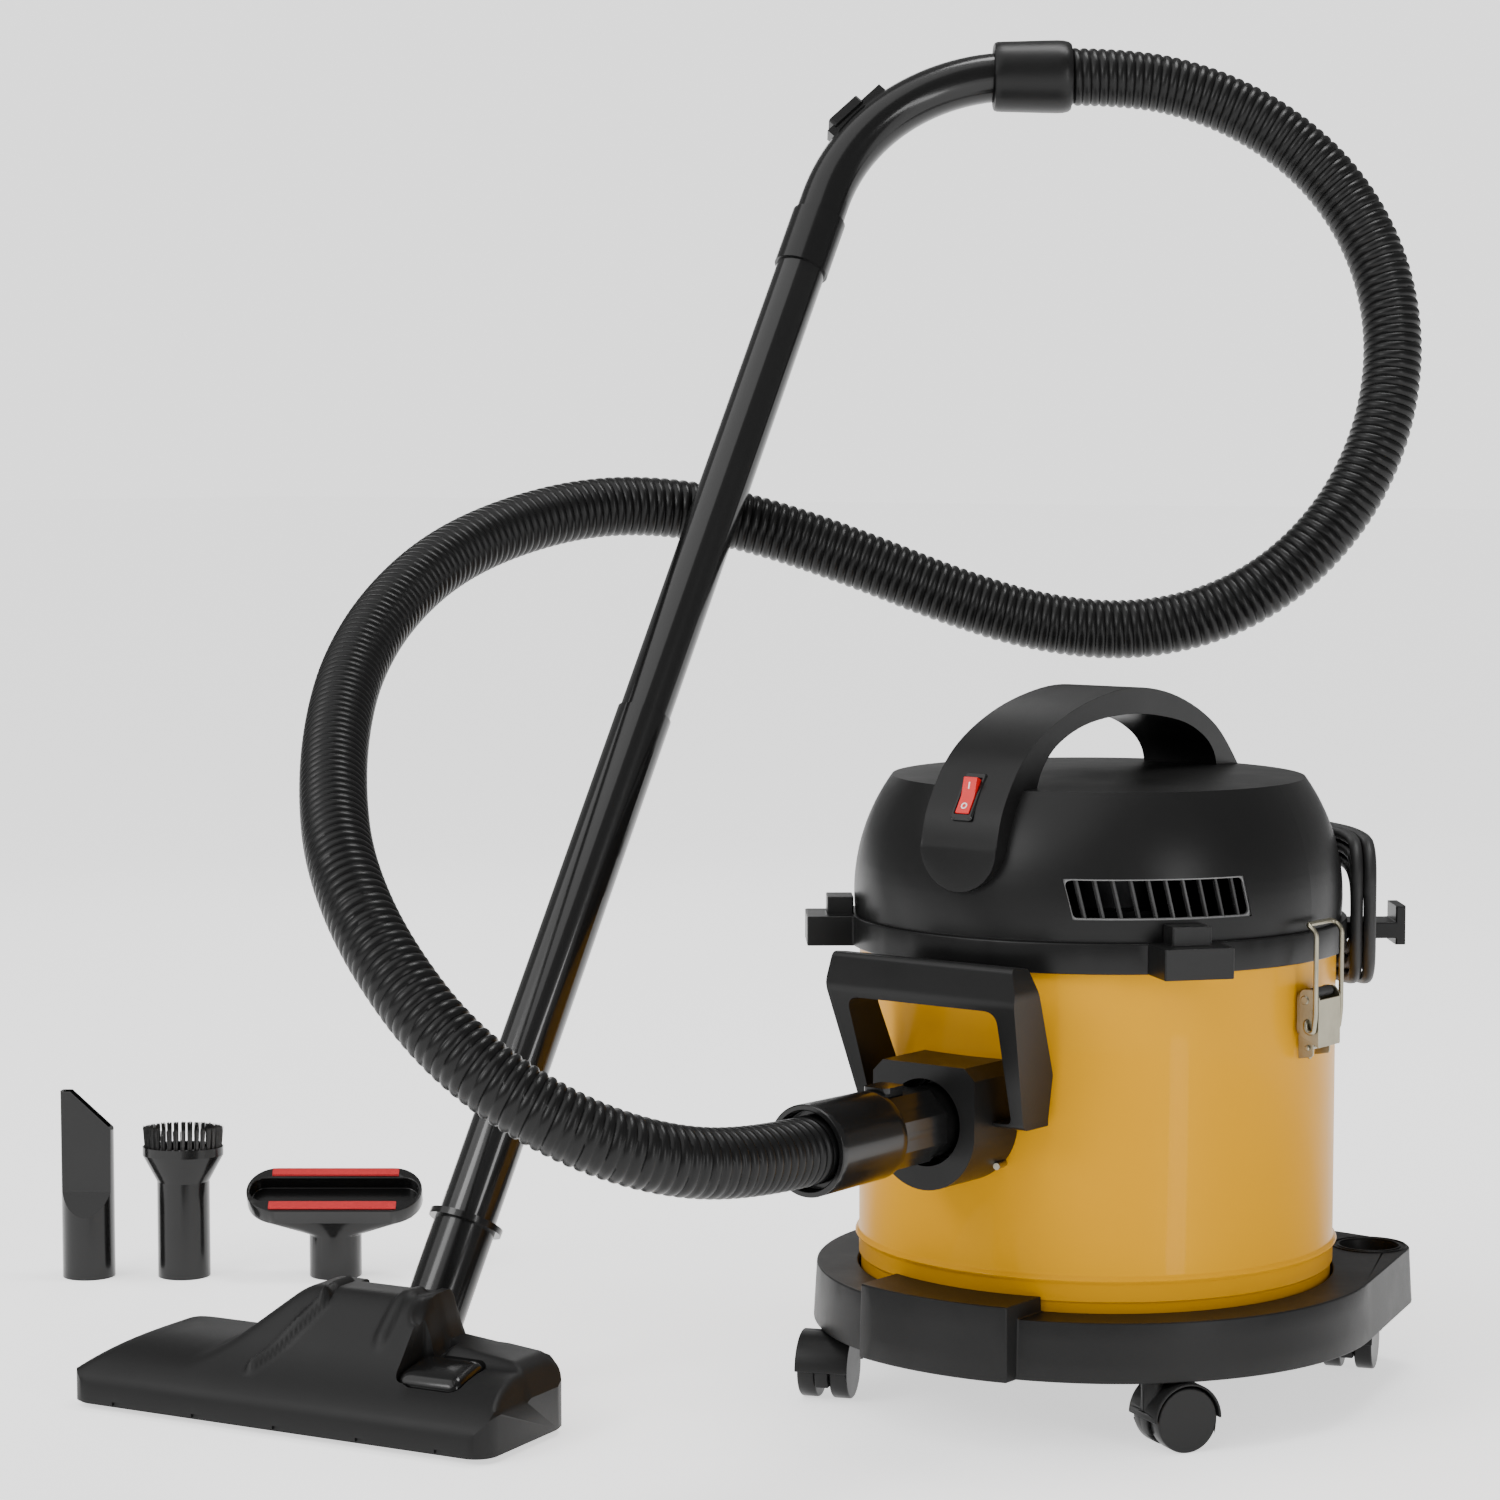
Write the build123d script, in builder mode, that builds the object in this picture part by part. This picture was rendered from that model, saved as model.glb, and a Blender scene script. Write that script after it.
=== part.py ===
from build123d import *
import os
from math import atan2, cos, degrees, hypot, pi, radians, sin, sqrt, tan

os.makedirs("parts", exist_ok=True)

# Shop vacuum. +Z is up, the origin is on the floor under the drum's axis, and -Y is the front,
# where the hose goes in. Everything is in millimetres.

# ---- drum and base ----
drum_r = 145.0           # outer radius of the steel drum
drum_wall = 1.0
drum_h = 223.0
drum_foot_in = 1.5       # the foot band under the bead is this much smaller
bead_h = 38.0            # height of the bead above the drum's underside
bead_out = 2.3
base_r = 173.0
base_z = 41.0            # underside of the dolly ring, above the floor
base_h = 35.0
base_wall = 3.0
skirt_lean = 2.0         # the skirt is this much smaller at its top
base_floor_z = 54.0      # underside of the plate the drum stands on
well_gap = 2.0           # room between the drum's foot and the well
lobe_x = 114.0           # centre of the rear storage lobes
lobe_y = 141.0
lobe_r = 27.0
recess_r = 18.5          # storage recess for a tool's tube, a little wider than the tool
recess_depth = 8.0
stop_half = 52.0         # half width of the raised front block
stop_rise = 9.0
stop_out = 10.0
caster_x = 113.0
caster_y = 116.0
stem_r = 4.0
run_gap = 0.08           # radial clearance of every running fit
wheel_r = 19.0
wheel_w = 11.0
wheel_gap = 9.0          # between the twin wheels
trail = 15.0
axle_r = 3.0
hood_wall = 1.5
hood_gap = 1.2

# ---- head ----
rim_z = 274.0            # underside of the rim flange
rim_h = 18.0
rim_r = 151.5
lug_r = 178.0
lug_w = 42.0
lug_angle = 51.4         # lugs, from the front and the rear axis
hook_r = 187.0
dome_foot_r = 148.0
dome_h = 84.5
dome_top_r = 125.5
dome_crown = 3.5
dome_wall = 2.5
handle_half = 26.5       # half width of the carry handle
tongue_z = 318.0
seal_h = 3.0

# ---- tubes, hose and cord ----
hose_d = 39.0
cord_d = 7.5
tube_upper_r = 16.5
tube_wall = 1.2
fit_gap = 0.3            # between plain pieces that only lie side by side


def keep(piece, name):
    piece.part.label = name
    export_step(piece.part, f"parts/{name}.step")


def polar(radius, angle, z=0.0):
    return (radius * cos(radians(angle)), radius * sin(radians(angle)), z)


def facing(angle, radius=0.0, z=0.0):
    """Plane at a radius on the drum, its normal pointing outward and its y up."""
    out = polar(1, angle)
    return Plane(origin=polar(radius, angle, z), x_dir=(-out[1], out[0], 0), z_dir=out)


# ---------------------------------------------------------------- base
base_top = base_z + base_h
well_r = drum_r - drum_foot_in + well_gap
floor_top = base_floor_z + base_wall
caster_spots = [(caster_x, -caster_y), (-caster_x, -caster_y), (caster_x, caster_y), (-caster_x, caster_y)]
lobe_spots = [(lobe_x, lobe_y), (-lobe_x, lobe_y)]
boss_r = stem_r + 5

with BuildPart() as base_ring:
    with BuildSketch(Plane.XY.offset(base_z)) as outline:
        Circle(base_r)
        with Locations(*lobe_spots):
            Circle(lobe_r)
        make_hull()
    extrude(amount=base_h, taper=degrees(atan2(skirt_lean, base_h)))
    with BuildSketch(Plane.XY.offset(base_z)):
        Circle(base_r + stop_out)
        with Locations((0, -base_r)):
            Rectangle(2 * stop_half, base_r, mode=Mode.INTERSECT)
        Circle(well_r + 1, mode=Mode.SUBTRACT)
    extrude(amount=base_h + stop_rise, taper=1)
    with BuildSketch(Plane.XY.offset(base_z)):
        Circle(base_r - base_wall - skirt_lean)
        with Locations(*lobe_spots):
            Circle(lobe_r - base_wall - skirt_lean)
        make_hull()
        Circle(well_r + base_wall, mode=Mode.SUBTRACT)
    extrude(amount=base_h - base_wall, mode=Mode.SUBTRACT)
    with BuildSketch(Plane.XY.offset(base_z)):
        Circle(well_r)
    extrude(amount=base_floor_z - base_z, mode=Mode.SUBTRACT)
    with BuildSketch(Plane.XY.offset(floor_top)):
        Circle(well_r)
    extrude(amount=base_h + stop_rise, mode=Mode.SUBTRACT)
    with BuildSketch(Plane.XY.offset(base_z + 2)):
        with Locations(*caster_spots):
            Circle(boss_r)
    extrude(amount=base_h - 3)
    with BuildSketch(Plane.XY.offset(base_top - recess_depth - base_wall)):
        with Locations(*lobe_spots):
            Circle(recess_r + base_wall)
    extrude(amount=recess_depth + base_wall)
    with BuildSketch(Plane.XY.offset(base_top - recess_depth)):
        with Locations(*lobe_spots):
            Circle(recess_r)
    extrude(amount=recess_depth, mode=Mode.SUBTRACT)
    with BuildSketch(Plane.XY.offset(base_z)):
        with Locations(*caster_spots):
            Circle(stem_r + run_gap)
    extrude(amount=base_h - 2 * base_wall, mode=Mode.SUBTRACT)
keep(base_ring, "base_ring")


def drum_face(inset, top):
    """Half section of the drum, drawn in the plane of its axis."""
    foot = drum_r - drum_foot_in - inset
    body = drum_r - inset
    low = floor_top + inset
    bead = floor_top + bead_h
    with BuildSketch(Plane.XZ) as half:
        with BuildLine():
            Polyline((0, top), (0, low), (foot - 4, low), (foot, low + 4), (foot, bead - 12))
            ThreePointArc((foot, bead - 12), (body + bead_out, bead), (body, bead + 10))
            Polyline((body, bead + 10), (body, top), (0, top))
        make_face()
    return half


drum_top = floor_top + drum_h
screw_r = 2.0
screw_head_r = 4.0
screw_head_h = 2.5
port_z = 188.0           # height of the hose port's axis
cuff_r = 21.0            # outer radius of the hose end that goes in
sleeve_wall = 1.5
sleeve_r = cuff_r + fit_gap + sleeve_wall
inlet_screw_x = 11.0     # degrees to each side of the port
inlet_screw_z = 27.0
inlet_screw_spots = [(-90 + turn * inlet_screw_x, port_z + up * inlet_screw_z) for turn in (-1, 1) for up in (-1, 1)]
with BuildPart() as drum:
    revolve(drum_face(0, drum_top).sketch, axis=Axis.Z)
    revolve(drum_face(drum_wall, drum_top).sketch, axis=Axis.Z, mode=Mode.SUBTRACT)
    with BuildSketch(facing(-90, 0, port_z)):
        Circle(sleeve_r + fit_gap)
    extrude(amount=drum_r + bead_out, mode=Mode.SUBTRACT)
    for angle, height in inlet_screw_spots:
        with BuildSketch(facing(angle, drum_r / 2, height)):
            Circle(screw_r + fit_gap)
        extrude(amount=drum_r, mode=Mode.SUBTRACT)
keep(drum, "drum")

screw_ring = 110.0
with BuildPart() as base_screws:
    with BuildSketch(Plane.XY.offset(base_floor_z - screw_head_h)):
        with PolarLocations(screw_ring, 4, 45):
            Circle(screw_head_r)
    extrude(amount=screw_head_h)
keep(base_screws, "base_screws")

# ---------------------------------------------------------------- casters
wheel_mid = (wheel_gap + wheel_w) / 2
hood_r = wheel_r + hood_gap + hood_wall
hood_half = wheel_gap / 2 + wheel_w + 0.8
caster_names = ["front_right", "front_left", "rear_right", "rear_left"]
caster_turn = [60.0, -68.0, 110.0, 135.0]      # which way each caster trails at rest
hub_w = wheel_gap - 1.0

for name, spot, turn in zip(caster_names, caster_spots, caster_turn):
    side = polar(1, turn + 90)
    ahead = polar(1, turn)
    axle = (spot[0] + trail * ahead[0], spot[1] + trail * ahead[1], wheel_r)
    across = Plane(origin=axle, x_dir=ahead, z_dir=side)
    with BuildPart() as hood:
        with BuildSketch(across.offset(-hood_half)):
            Circle(hood_r)
            Circle(wheel_r + hood_gap, mode=Mode.SUBTRACT)
            with Locations((0, hood_r / 2 * across.y_dir.Z)):
                Rectangle(3 * hood_r, hood_r, mode=Mode.INTERSECT)
        extrude(amount=2 * hood_half)
        with BuildSketch(across.offset(-hub_w / 2)):
            Circle(wheel_r + hood_gap + 0.5)
            with Locations((0, -wheel_r * across.y_dir.Z)):
                Rectangle(3 * hood_r, wheel_r, mode=Mode.SUBTRACT)
        extrude(amount=hub_w)
        with BuildSketch(Plane(origin=(spot[0], spot[1], wheel_r + 4))):
            Circle(stem_r + 2.5)
        extrude(amount=base_z - wheel_r - 4 - fit_gap)
        with BuildSketch(Plane(origin=(spot[0], spot[1], wheel_r + 4))):
            Circle(stem_r)
        extrude(amount=base_top - 2 * base_wall - fit_gap - wheel_r - 4)
        with BuildSketch(across.offset(hub_w / 2)):
            Circle(wheel_r + hood_gap)
        extrude(amount=wheel_w + 2, mode=Mode.SUBTRACT)
        with BuildSketch(across.offset(-hub_w / 2 - wheel_w - 2)):
            Circle(wheel_r + hood_gap)
        extrude(amount=wheel_w + 2, mode=Mode.SUBTRACT)
        with BuildSketch(across.offset(-hub_w / 2)):
            Circle(axle_r + run_gap)
        extrude(amount=hub_w, mode=Mode.SUBTRACT)
    keep(hood, f"caster_hood_{name}")
    with BuildPart() as wheels:
        for shift in (-wheel_mid - wheel_w / 2, wheel_mid - wheel_w / 2):
            with BuildSketch(across.offset(shift)):
                Circle(wheel_r)
            extrude(amount=wheel_w)
        with BuildSketch(across.offset(-wheel_mid)):
            Circle(axle_r)
        extrude(amount=2 * wheel_mid)
    keep(wheels, f"caster_wheels_{name}")

# ---------------------------------------------------------------- hose inlet on the drum
port_r = 25.5
front_y = 188.0          # front face of the inlet block
block_half = 35.5
block_top = 222.0
screw_bite = 12.0        # how far the screws go into the block
grip_top = 283.0
with BuildPart() as inlet_bracket:
    with BuildSketch(Plane.XZ.offset(front_y - 3)):
        with BuildLine():
            Polyline((-block_half, port_z), (-block_half, block_top), (block_half, block_top), (block_half, port_z))
            ThreePointArc((block_half, port_z), (0, port_z - block_half - 4), (-block_half, port_z))
        make_face()
    extrude(amount=-(front_y - 3 - drum_r + 20))
    # the carrying frame leans out from the drum towards its top bar
    with BuildSketch(Plane.YZ.offset(-72)):
        with BuildLine():
            Polyline((-drum_r + 4, 186), (-drum_r + 4, 216), (-front_y + 16, 282), (-front_y, grip_top),
                     (-front_y - 2, 262), (-drum_r - 20, 186), (-drum_r + 4, 186))
        make_face()
    extrude(amount=144)
    with BuildSketch(Plane.XZ.offset(front_y + 10)):
        with BuildLine():
            Polyline((-57, 150), (-57, 190), (-66, 270), (-60, 290), (60, 290), (66, 270), (57, 190), (57, 150),
                     (-57, 150))
        make_face()
    extrude(amount=-80, mode=Mode.INTERSECT)
    # finger window between the bar, the arms and the block
    with BuildSketch(Plane.XZ.offset(front_y + 12)):
        with BuildLine():
            Polyline((-50, 224), (-52, 256), (52, 256), (50, 224), (-50, 224))
        make_face()
    extrude(amount=-60, mode=Mode.SUBTRACT)
    with BuildSketch(Plane.XZ.offset(front_y + 12)):
        with Locations((-43, 207), (43, 207)):
            Rectangle(14, 36)
    extrude(amount=-60, mode=Mode.SUBTRACT)
    with BuildSketch(Plane.XY.offset(130)):
        Circle(drum_r + 0.2)
    extrude(amount=170, mode=Mode.SUBTRACT)
    with BuildSketch(facing(-90, drum_r - 20, port_z)):
        Circle(sleeve_r + fit_gap)
    extrude(amount=45, mode=Mode.SUBTRACT)
    for angle, height in inlet_screw_spots:
        with BuildSketch(facing(angle, drum_r - 10, height)):
            Circle(screw_r + fit_gap)
        extrude(amount=10 + screw_bite, mode=Mode.SUBTRACT)
    with BuildSketch(facing(-90, drum_r + 18, port_z)):
        Circle(port_r)
    extrude(amount=60, mode=Mode.SUBTRACT)
keep(inlet_bracket, "inlet_bracket")

sleeve_in = drum_r - 42
with BuildPart() as inlet_sleeve:
    with BuildSketch(facing(-90, sleeve_in, port_z)):
        Circle(sleeve_r)
        Circle(cuff_r + run_gap, mode=Mode.SUBTRACT)
    extrude(amount=drum_r + 16 - sleeve_in)
    with BuildSketch(facing(-90, sleeve_in, port_z)):
        Circle(sleeve_r)
    extrude(amount=-sleeve_wall)
    # the elbow turns the air down the drum's wall
    with BuildSketch(Plane.XY.offset(port_z - cuff_r - 6)):
        with Locations((0, -sleeve_in - 14)):
            Rectangle(24, 20)
    extrude(amount=10, mode=Mode.SUBTRACT)
keep(inlet_sleeve, "inlet_deflector")

with BuildPart() as inlet_screws:
    for angle, height in inlet_screw_spots:
        with BuildSketch(facing(angle, drum_r - drum_wall - fit_gap, height)):
            Circle(screw_head_r)
        extrude(amount=-screw_head_h)
        with BuildSketch(facing(angle, drum_r - drum_wall - fit_gap, height)):
            Circle(screw_r)
        extrude(amount=drum_wall + screw_bite)
keep(inlet_screws, "inlet_screws")

# ---------------------------------------------------------------- head
dome_z = rim_z + rim_h
dome_top_z = dome_z + dome_h


def dome_face(inset, low):
    """Half section of the domed cover: flared side, rounded shoulder and a slightly crowned top."""
    with BuildSketch(Plane.XZ) as half:
        with BuildLine():
            Line((0, low), (dome_foot_r - inset, low))
            Line((dome_foot_r - inset, low), (dome_foot_r - inset, dome_z + 1))
            ThreePointArc((dome_foot_r - inset, dome_z + 1), (143.8 - inset, dome_z + 47),
                          (dome_top_r - inset, dome_top_z - inset))
            Line((dome_top_r - inset, dome_top_z - inset), (0, dome_top_z + dome_crown - inset))
            Line((0, dome_top_z + dome_crown - inset), (0, low))
        make_face()
    return half


grille_half = 56.0       # half width of the slanted exhaust window
grille_low = dome_z + 13
grille_h = 23.5
grille_slant = 5.0
slat_count = 11
grille_angles = [-43.0, 170.0]


def window(angle, shrink):
    """Slanted window outline on an upright plane that faces outward."""
    low = grille_low + shrink - dome_z
    high = grille_low + grille_h - shrink - dome_z
    with BuildSketch(facing(angle, 90, dome_z)) as outline:
        with BuildLine():
            Polyline((-grille_half + shrink + grille_slant, low), (grille_half - shrink, low),
                     (grille_half - shrink - grille_slant, high), (-grille_half + shrink, high),
                     (-grille_half + shrink + grille_slant, low))
        make_face()
    return outline


switch_y = -139.0
switch_z = 372.5
switch_tilt = 34.0
switch_plane = Plane(origin=(0, switch_y, switch_z), x_dir=(1, 0, 0),
                     z_dir=(0, -cos(radians(switch_tilt)), sin(radians(switch_tilt))))
bezel_w = 15.0
bezel_l = 31.5
bezel_lip = 1.0          # the bezel's flange overhangs its tray by this much each way
tray_w = bezel_w - 2 * bezel_lip
tray_l = bezel_l - 2 * bezel_lip
tray_depth = 11.0
gland_z = 350.0
gland_r = 6.0
with BuildPart() as head_cover:
    revolve(dome_face(0, dome_z).sketch, axis=Axis.Z)
    revolve(dome_face(dome_wall, dome_z - 1).sketch, axis=Axis.Z, mode=Mode.SUBTRACT)
    for angle in grille_angles:
        extrude(window(angle, 0).sketch, amount=80, mode=Mode.SUBTRACT)
    with BuildSketch(switch_plane.offset(-tray_depth - 5)):
        Rectangle(tray_w + 2 * fit_gap, tray_l + 2 * fit_gap)
    extrude(amount=tray_depth + 5, mode=Mode.SUBTRACT)
    with BuildSketch(facing(90, 110, gland_z)):
        Circle(gland_r + run_gap)
    extrude(amount=50, mode=Mode.SUBTRACT)
keep(head_cover, "head_cover")

slat_pitch = 2 * grille_half / slat_count
grille_depth = 4.0
panels = []
for angle in grille_angles:
    with BuildPart() as panel:
        revolve(dome_face(0.6, dome_z).sketch, axis=Axis.Z)
        revolve(dome_face(0.6 + grille_depth, dome_z - 1).sketch, axis=Axis.Z, mode=Mode.SUBTRACT)
        extrude(window(angle, fit_gap).sketch, amount=80, mode=Mode.INTERSECT)
        with BuildSketch(facing(angle, 100, grille_low + grille_h / 2)):
            with GridLocations(slat_pitch, 1, slat_count - 1, 1):
                Rectangle(slat_pitch - 1.6, grille_h - 4)
        extrude(amount=60, mode=Mode.SUBTRACT)
    panels.append(panel.part)
with BuildPart() as grilles:
    add(panels)
keep(grilles, "exhaust_grilles")

groove_in = drum_r - drum_wall - 3.0
groove_out = drum_r + 1.0
with BuildPart() as head_rim:
    with BuildSketch(Plane.XY.offset(rim_z)):
        Circle(rim_r)
        Circle(groove_in - 4, mode=Mode.SUBTRACT)
    extrude(amount=rim_h)
    for angle in (-90 - lug_angle, -90 + lug_angle):
        with BuildSketch(facing(angle, rim_r - 8, rim_z + rim_h / 2)):
            Rectangle(lug_w, rim_h)
        extrude(amount=lug_r - rim_r + 8)
        with BuildSketch(facing(angle, rim_r - 2, rim_z + rim_h + 5.5)):
            Rectangle(24, 11)
        extrude(amount=16)
    for angle in (90 - lug_angle, 90 + lug_angle):
        with BuildSketch(facing(angle, rim_r - 8, rim_z + 8)):
            Rectangle(30, 10)
        extrude(amount=hook_r - rim_r + 8)
        with BuildSketch(facing(angle, hook_r - 6, rim_z + 11)):
            Rectangle(30, 24)
        extrude(amount=6)
    # groove for the seal and the drum's rolled edge
    with BuildSketch(Plane.XY.offset(rim_z)):
        Circle(groove_out)
        Circle(groove_in, mode=Mode.SUBTRACT)
    extrude(amount=drum_top + fit_gap + seal_h - rim_z, mode=Mode.SUBTRACT)
keep(head_rim, "head_rim")

with BuildPart() as head_seal:
    with BuildSketch(Plane.XY.offset(drum_top + fit_gap)):
        Circle(groove_out)
        Circle(groove_in, mode=Mode.SUBTRACT)
    extrude(amount=seal_h)
keep(head_seal, "head_seal")

# carry handle: a strap that rises from a tongue on the dome's front and lands on its back
strap_crown = 430.5
with BuildPart() as carry_handle:
    with BuildSketch(Plane.YZ.offset(-handle_half)):
        with BuildLine():
            Line((-151.5, tongue_z), (-151.5, 342))
            Spline((-151.5, 342), (-143, 367), (-122, 394.5), (-90, 412.5), (-48, 425), (0, strap_crown),
                   (50, 422), (96, 403), (127, 375))
            Line((127, 375), (112, 375))
            Spline((112, 375), (104, 392), (84, 402), (50, 410.5), (0, 415.5), (-50, 414), (-92, 406), (-110, 392),
                   (-116, 372))
            Polyline((-116, 372), (-136, tongue_z), (-151.5, tongue_z))
        make_face()
    extrude(amount=2 * handle_half)
    with BuildSketch(Plane.XZ.offset(-180)):
        with Locations((0, tongue_z + handle_half)):
            Circle(handle_half)
        with Locations((0, tongue_z + handle_half + 75)):
            Rectangle(2 * handle_half, 150)
    extrude(amount=360, mode=Mode.INTERSECT)
    revolve(dome_face(-0.02, dome_z - 2).sketch, axis=Axis.Z, mode=Mode.SUBTRACT)
    with BuildSketch(switch_plane.offset(12)):
        Rectangle(tray_w + 2 * fit_gap, tray_l + 2 * fit_gap)
    extrude(amount=-14 - tray_depth, mode=Mode.SUBTRACT)
    # flat seat for the switch's flange on the curved strap
    with BuildSketch(switch_plane):
        Rectangle(bezel_w + 2 * fit_gap, bezel_l + 2 * fit_gap)
    extrude(amount=12, mode=Mode.SUBTRACT)
keep(carry_handle, "carry_handle")

rocker_w = 9.6
rocker_l = 23.0
rocker_room = 1.2        # clear of the tray's walls all round, so the rocker can swing
rock = 10.0
with BuildPart() as switch_bezel:
    with BuildSketch(switch_plane.offset(0.1)):
        Rectangle(bezel_w, bezel_l)
        Rectangle(rocker_w + rocker_room, rocker_l + 2 * rocker_room, mode=Mode.SUBTRACT)
    extrude(amount=2.6)
    with BuildSketch(switch_plane.offset(0.1)):
        Rectangle(tray_w, tray_l)
        Rectangle(rocker_w + rocker_room, rocker_l + 2 * rocker_room, mode=Mode.SUBTRACT)
    extrude(amount=-tray_depth + 2)
    with BuildSketch(switch_plane.offset(2.1 - tray_depth)):
        Rectangle(tray_w, tray_l)
    extrude(amount=-2)
keep(switch_bezel, "switch_bezel")

tilt_y = switch_plane.y_dir * cos(radians(rock)) + switch_plane.z_dir * sin(radians(rock))
rocker_tilted = Plane(origin=switch_plane.origin, x_dir=tilt_y, z_dir=switch_plane.x_dir)
with BuildPart() as switch_rocker:
    with BuildSketch(rocker_tilted.offset(-rocker_w / 2)):
        with BuildLine():
            Polyline((-rocker_l / 2, -1), (-rocker_l / 2, 4.6), (0, 3.4), (rocker_l / 2, 4.6), (rocker_l / 2, -1),
                     (4, -5), (-4, -5), (-rocker_l / 2, -1))
        make_face()
    extrude(amount=rocker_w)
keep(switch_rocker, "switch_rocker")

# ---------------------------------------------------------------- motor, float and filter under the head
motor_r = 48.0
case_r = 66.0
case_low = 232.0         # underside of the fan case, which hangs into the drum
case_top = 300.0
motor_low = case_top
motor_h = 58.0
shaft_r = 4.0
fan_r = 56.0
fan_z = 244.0
fan_h = 12.0
inlet_eye_r = 20.0
with BuildPart() as fan_case:
    with BuildSketch(Plane.XY.offset(case_low)):
        Circle(case_r)
    extrude(amount=case_top - case_low)
    with BuildSketch(Plane.XY.offset(case_low + 2.5)):
        Circle(case_r - 2.5)
    extrude(amount=case_top - case_low - 5, mode=Mode.SUBTRACT)
    with BuildSketch(Plane.XY.offset(case_low)):
        Circle(inlet_eye_r)
    extrude(amount=10, mode=Mode.SUBTRACT)
    with BuildSketch(Plane.XY.offset(case_top - 10)):
        Circle(shaft_r + run_gap)
    extrude(amount=20, mode=Mode.SUBTRACT)
    # plate that spans the head and carries the fan case and the motor
    with BuildSketch(Plane.XY.offset(dome_z - 6)):
        Circle(groove_in - 4)
        Circle(case_r - 1, mode=Mode.SUBTRACT)
    extrude(amount=3)
    # outlets round the fan, above the plate
    with BuildSketch(Plane.XY.offset(dome_z)):
        with PolarLocations(case_r, 6):
            Rectangle(12, 30)
    extrude(amount=5, mode=Mode.SUBTRACT)
keep(fan_case, "fan_case")

with BuildPart() as motor_stator:
    with BuildSketch(Plane.XY.offset(motor_low)):
        Circle(motor_r)
        Circle(30, mode=Mode.SUBTRACT)
    extrude(amount=motor_h - 4)
    with BuildSketch(Plane.XY.offset(motor_low + motor_h - 4)):
        Circle(motor_r)
        Circle(shaft_r + run_gap, mode=Mode.SUBTRACT)
    extrude(amount=4)
keep(motor_stator, "motor_stator")

with BuildPart() as rotor_shaft:
    with BuildSketch(Plane.XY.offset(fan_z - 4)):
        Circle(shaft_r)
    extrude(amount=motor_low + motor_h + 2 - fan_z + 4)
    with BuildSketch(Plane.XY.offset(motor_low + 8)):
        Circle(28.5)
    extrude(amount=34)
keep(rotor_shaft, "rotor_shaft")

blade_count = 9
with BuildPart() as impeller:
    for level in (fan_z, fan_z + fan_h):
        with BuildSketch(Plane.XY.offset(level)):
            Circle(fan_r)
            Circle(shaft_r if level > fan_z else inlet_eye_r - 3, mode=Mode.SUBTRACT)
        extrude(amount=1.2)
    with BuildSketch(Plane.XY.offset(fan_z + 0.6)):
        with PolarLocations(36, blade_count):
            Rectangle(36, 1.4, rotation=28)
    extrude(amount=fan_h)
keep(impeller, "impeller")

cage_r = 27.0
ball_r = 24.2
cage_h = 62.0
cage_low = case_low - cage_h
with BuildPart() as float_cage:
    with BuildSketch(Plane.XY.offset(cage_low)):
        Circle(cage_r)
    extrude(amount=cage_h - fit_gap)
    with BuildSketch(Plane.XY.offset(cage_low + 2)):
        Circle(cage_r - 2)
    extrude(amount=cage_h, mode=Mode.SUBTRACT)
    with BuildSketch(Plane.XY.offset(cage_low + 8)):
        with PolarLocations(cage_r, 8):
            Rectangle(14, 11)
    extrude(amount=cage_h - 18, mode=Mode.SUBTRACT)
    with BuildSketch(Plane.XY.offset(case_low - 3)):
        Circle(cage_r + 6)
        Circle(cage_r - 2, mode=Mode.SUBTRACT)
    extrude(amount=3)
keep(float_cage, "float_cage")

with BuildPart() as float_ball:
    with BuildSketch(Plane.XY.offset(cage_low + 2.3)):
        Circle(ball_r)
    extrude(amount=20)
    fillet(float_ball.edges(), 8)
keep(float_ball, "float_cup")

filter_r = 62.0
with BuildPart() as filter_sleeve:
    with BuildSketch(Plane.XY.offset(cage_low - 12)):
        Circle(filter_r)
        Circle(filter_r - 14, mode=Mode.SUBTRACT)
    extrude(amount=case_low - cage_low + 12 - fit_gap)
    with BuildSketch(Plane.XY.offset(cage_low - 15)):
        Circle(filter_r)
    extrude(amount=3)
keep(filter_sleeve, "cartridge_filter")

with BuildPart() as head_screws:
    with BuildSketch(Plane.XY.offset(rim_z + 5)):
        with PolarLocations(groove_in - 14, 4, 20):
            Circle(3.5)
    extrude(amount=dome_z - 6 - rim_z - 5)
keep(head_screws, "head_screws")

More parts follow.
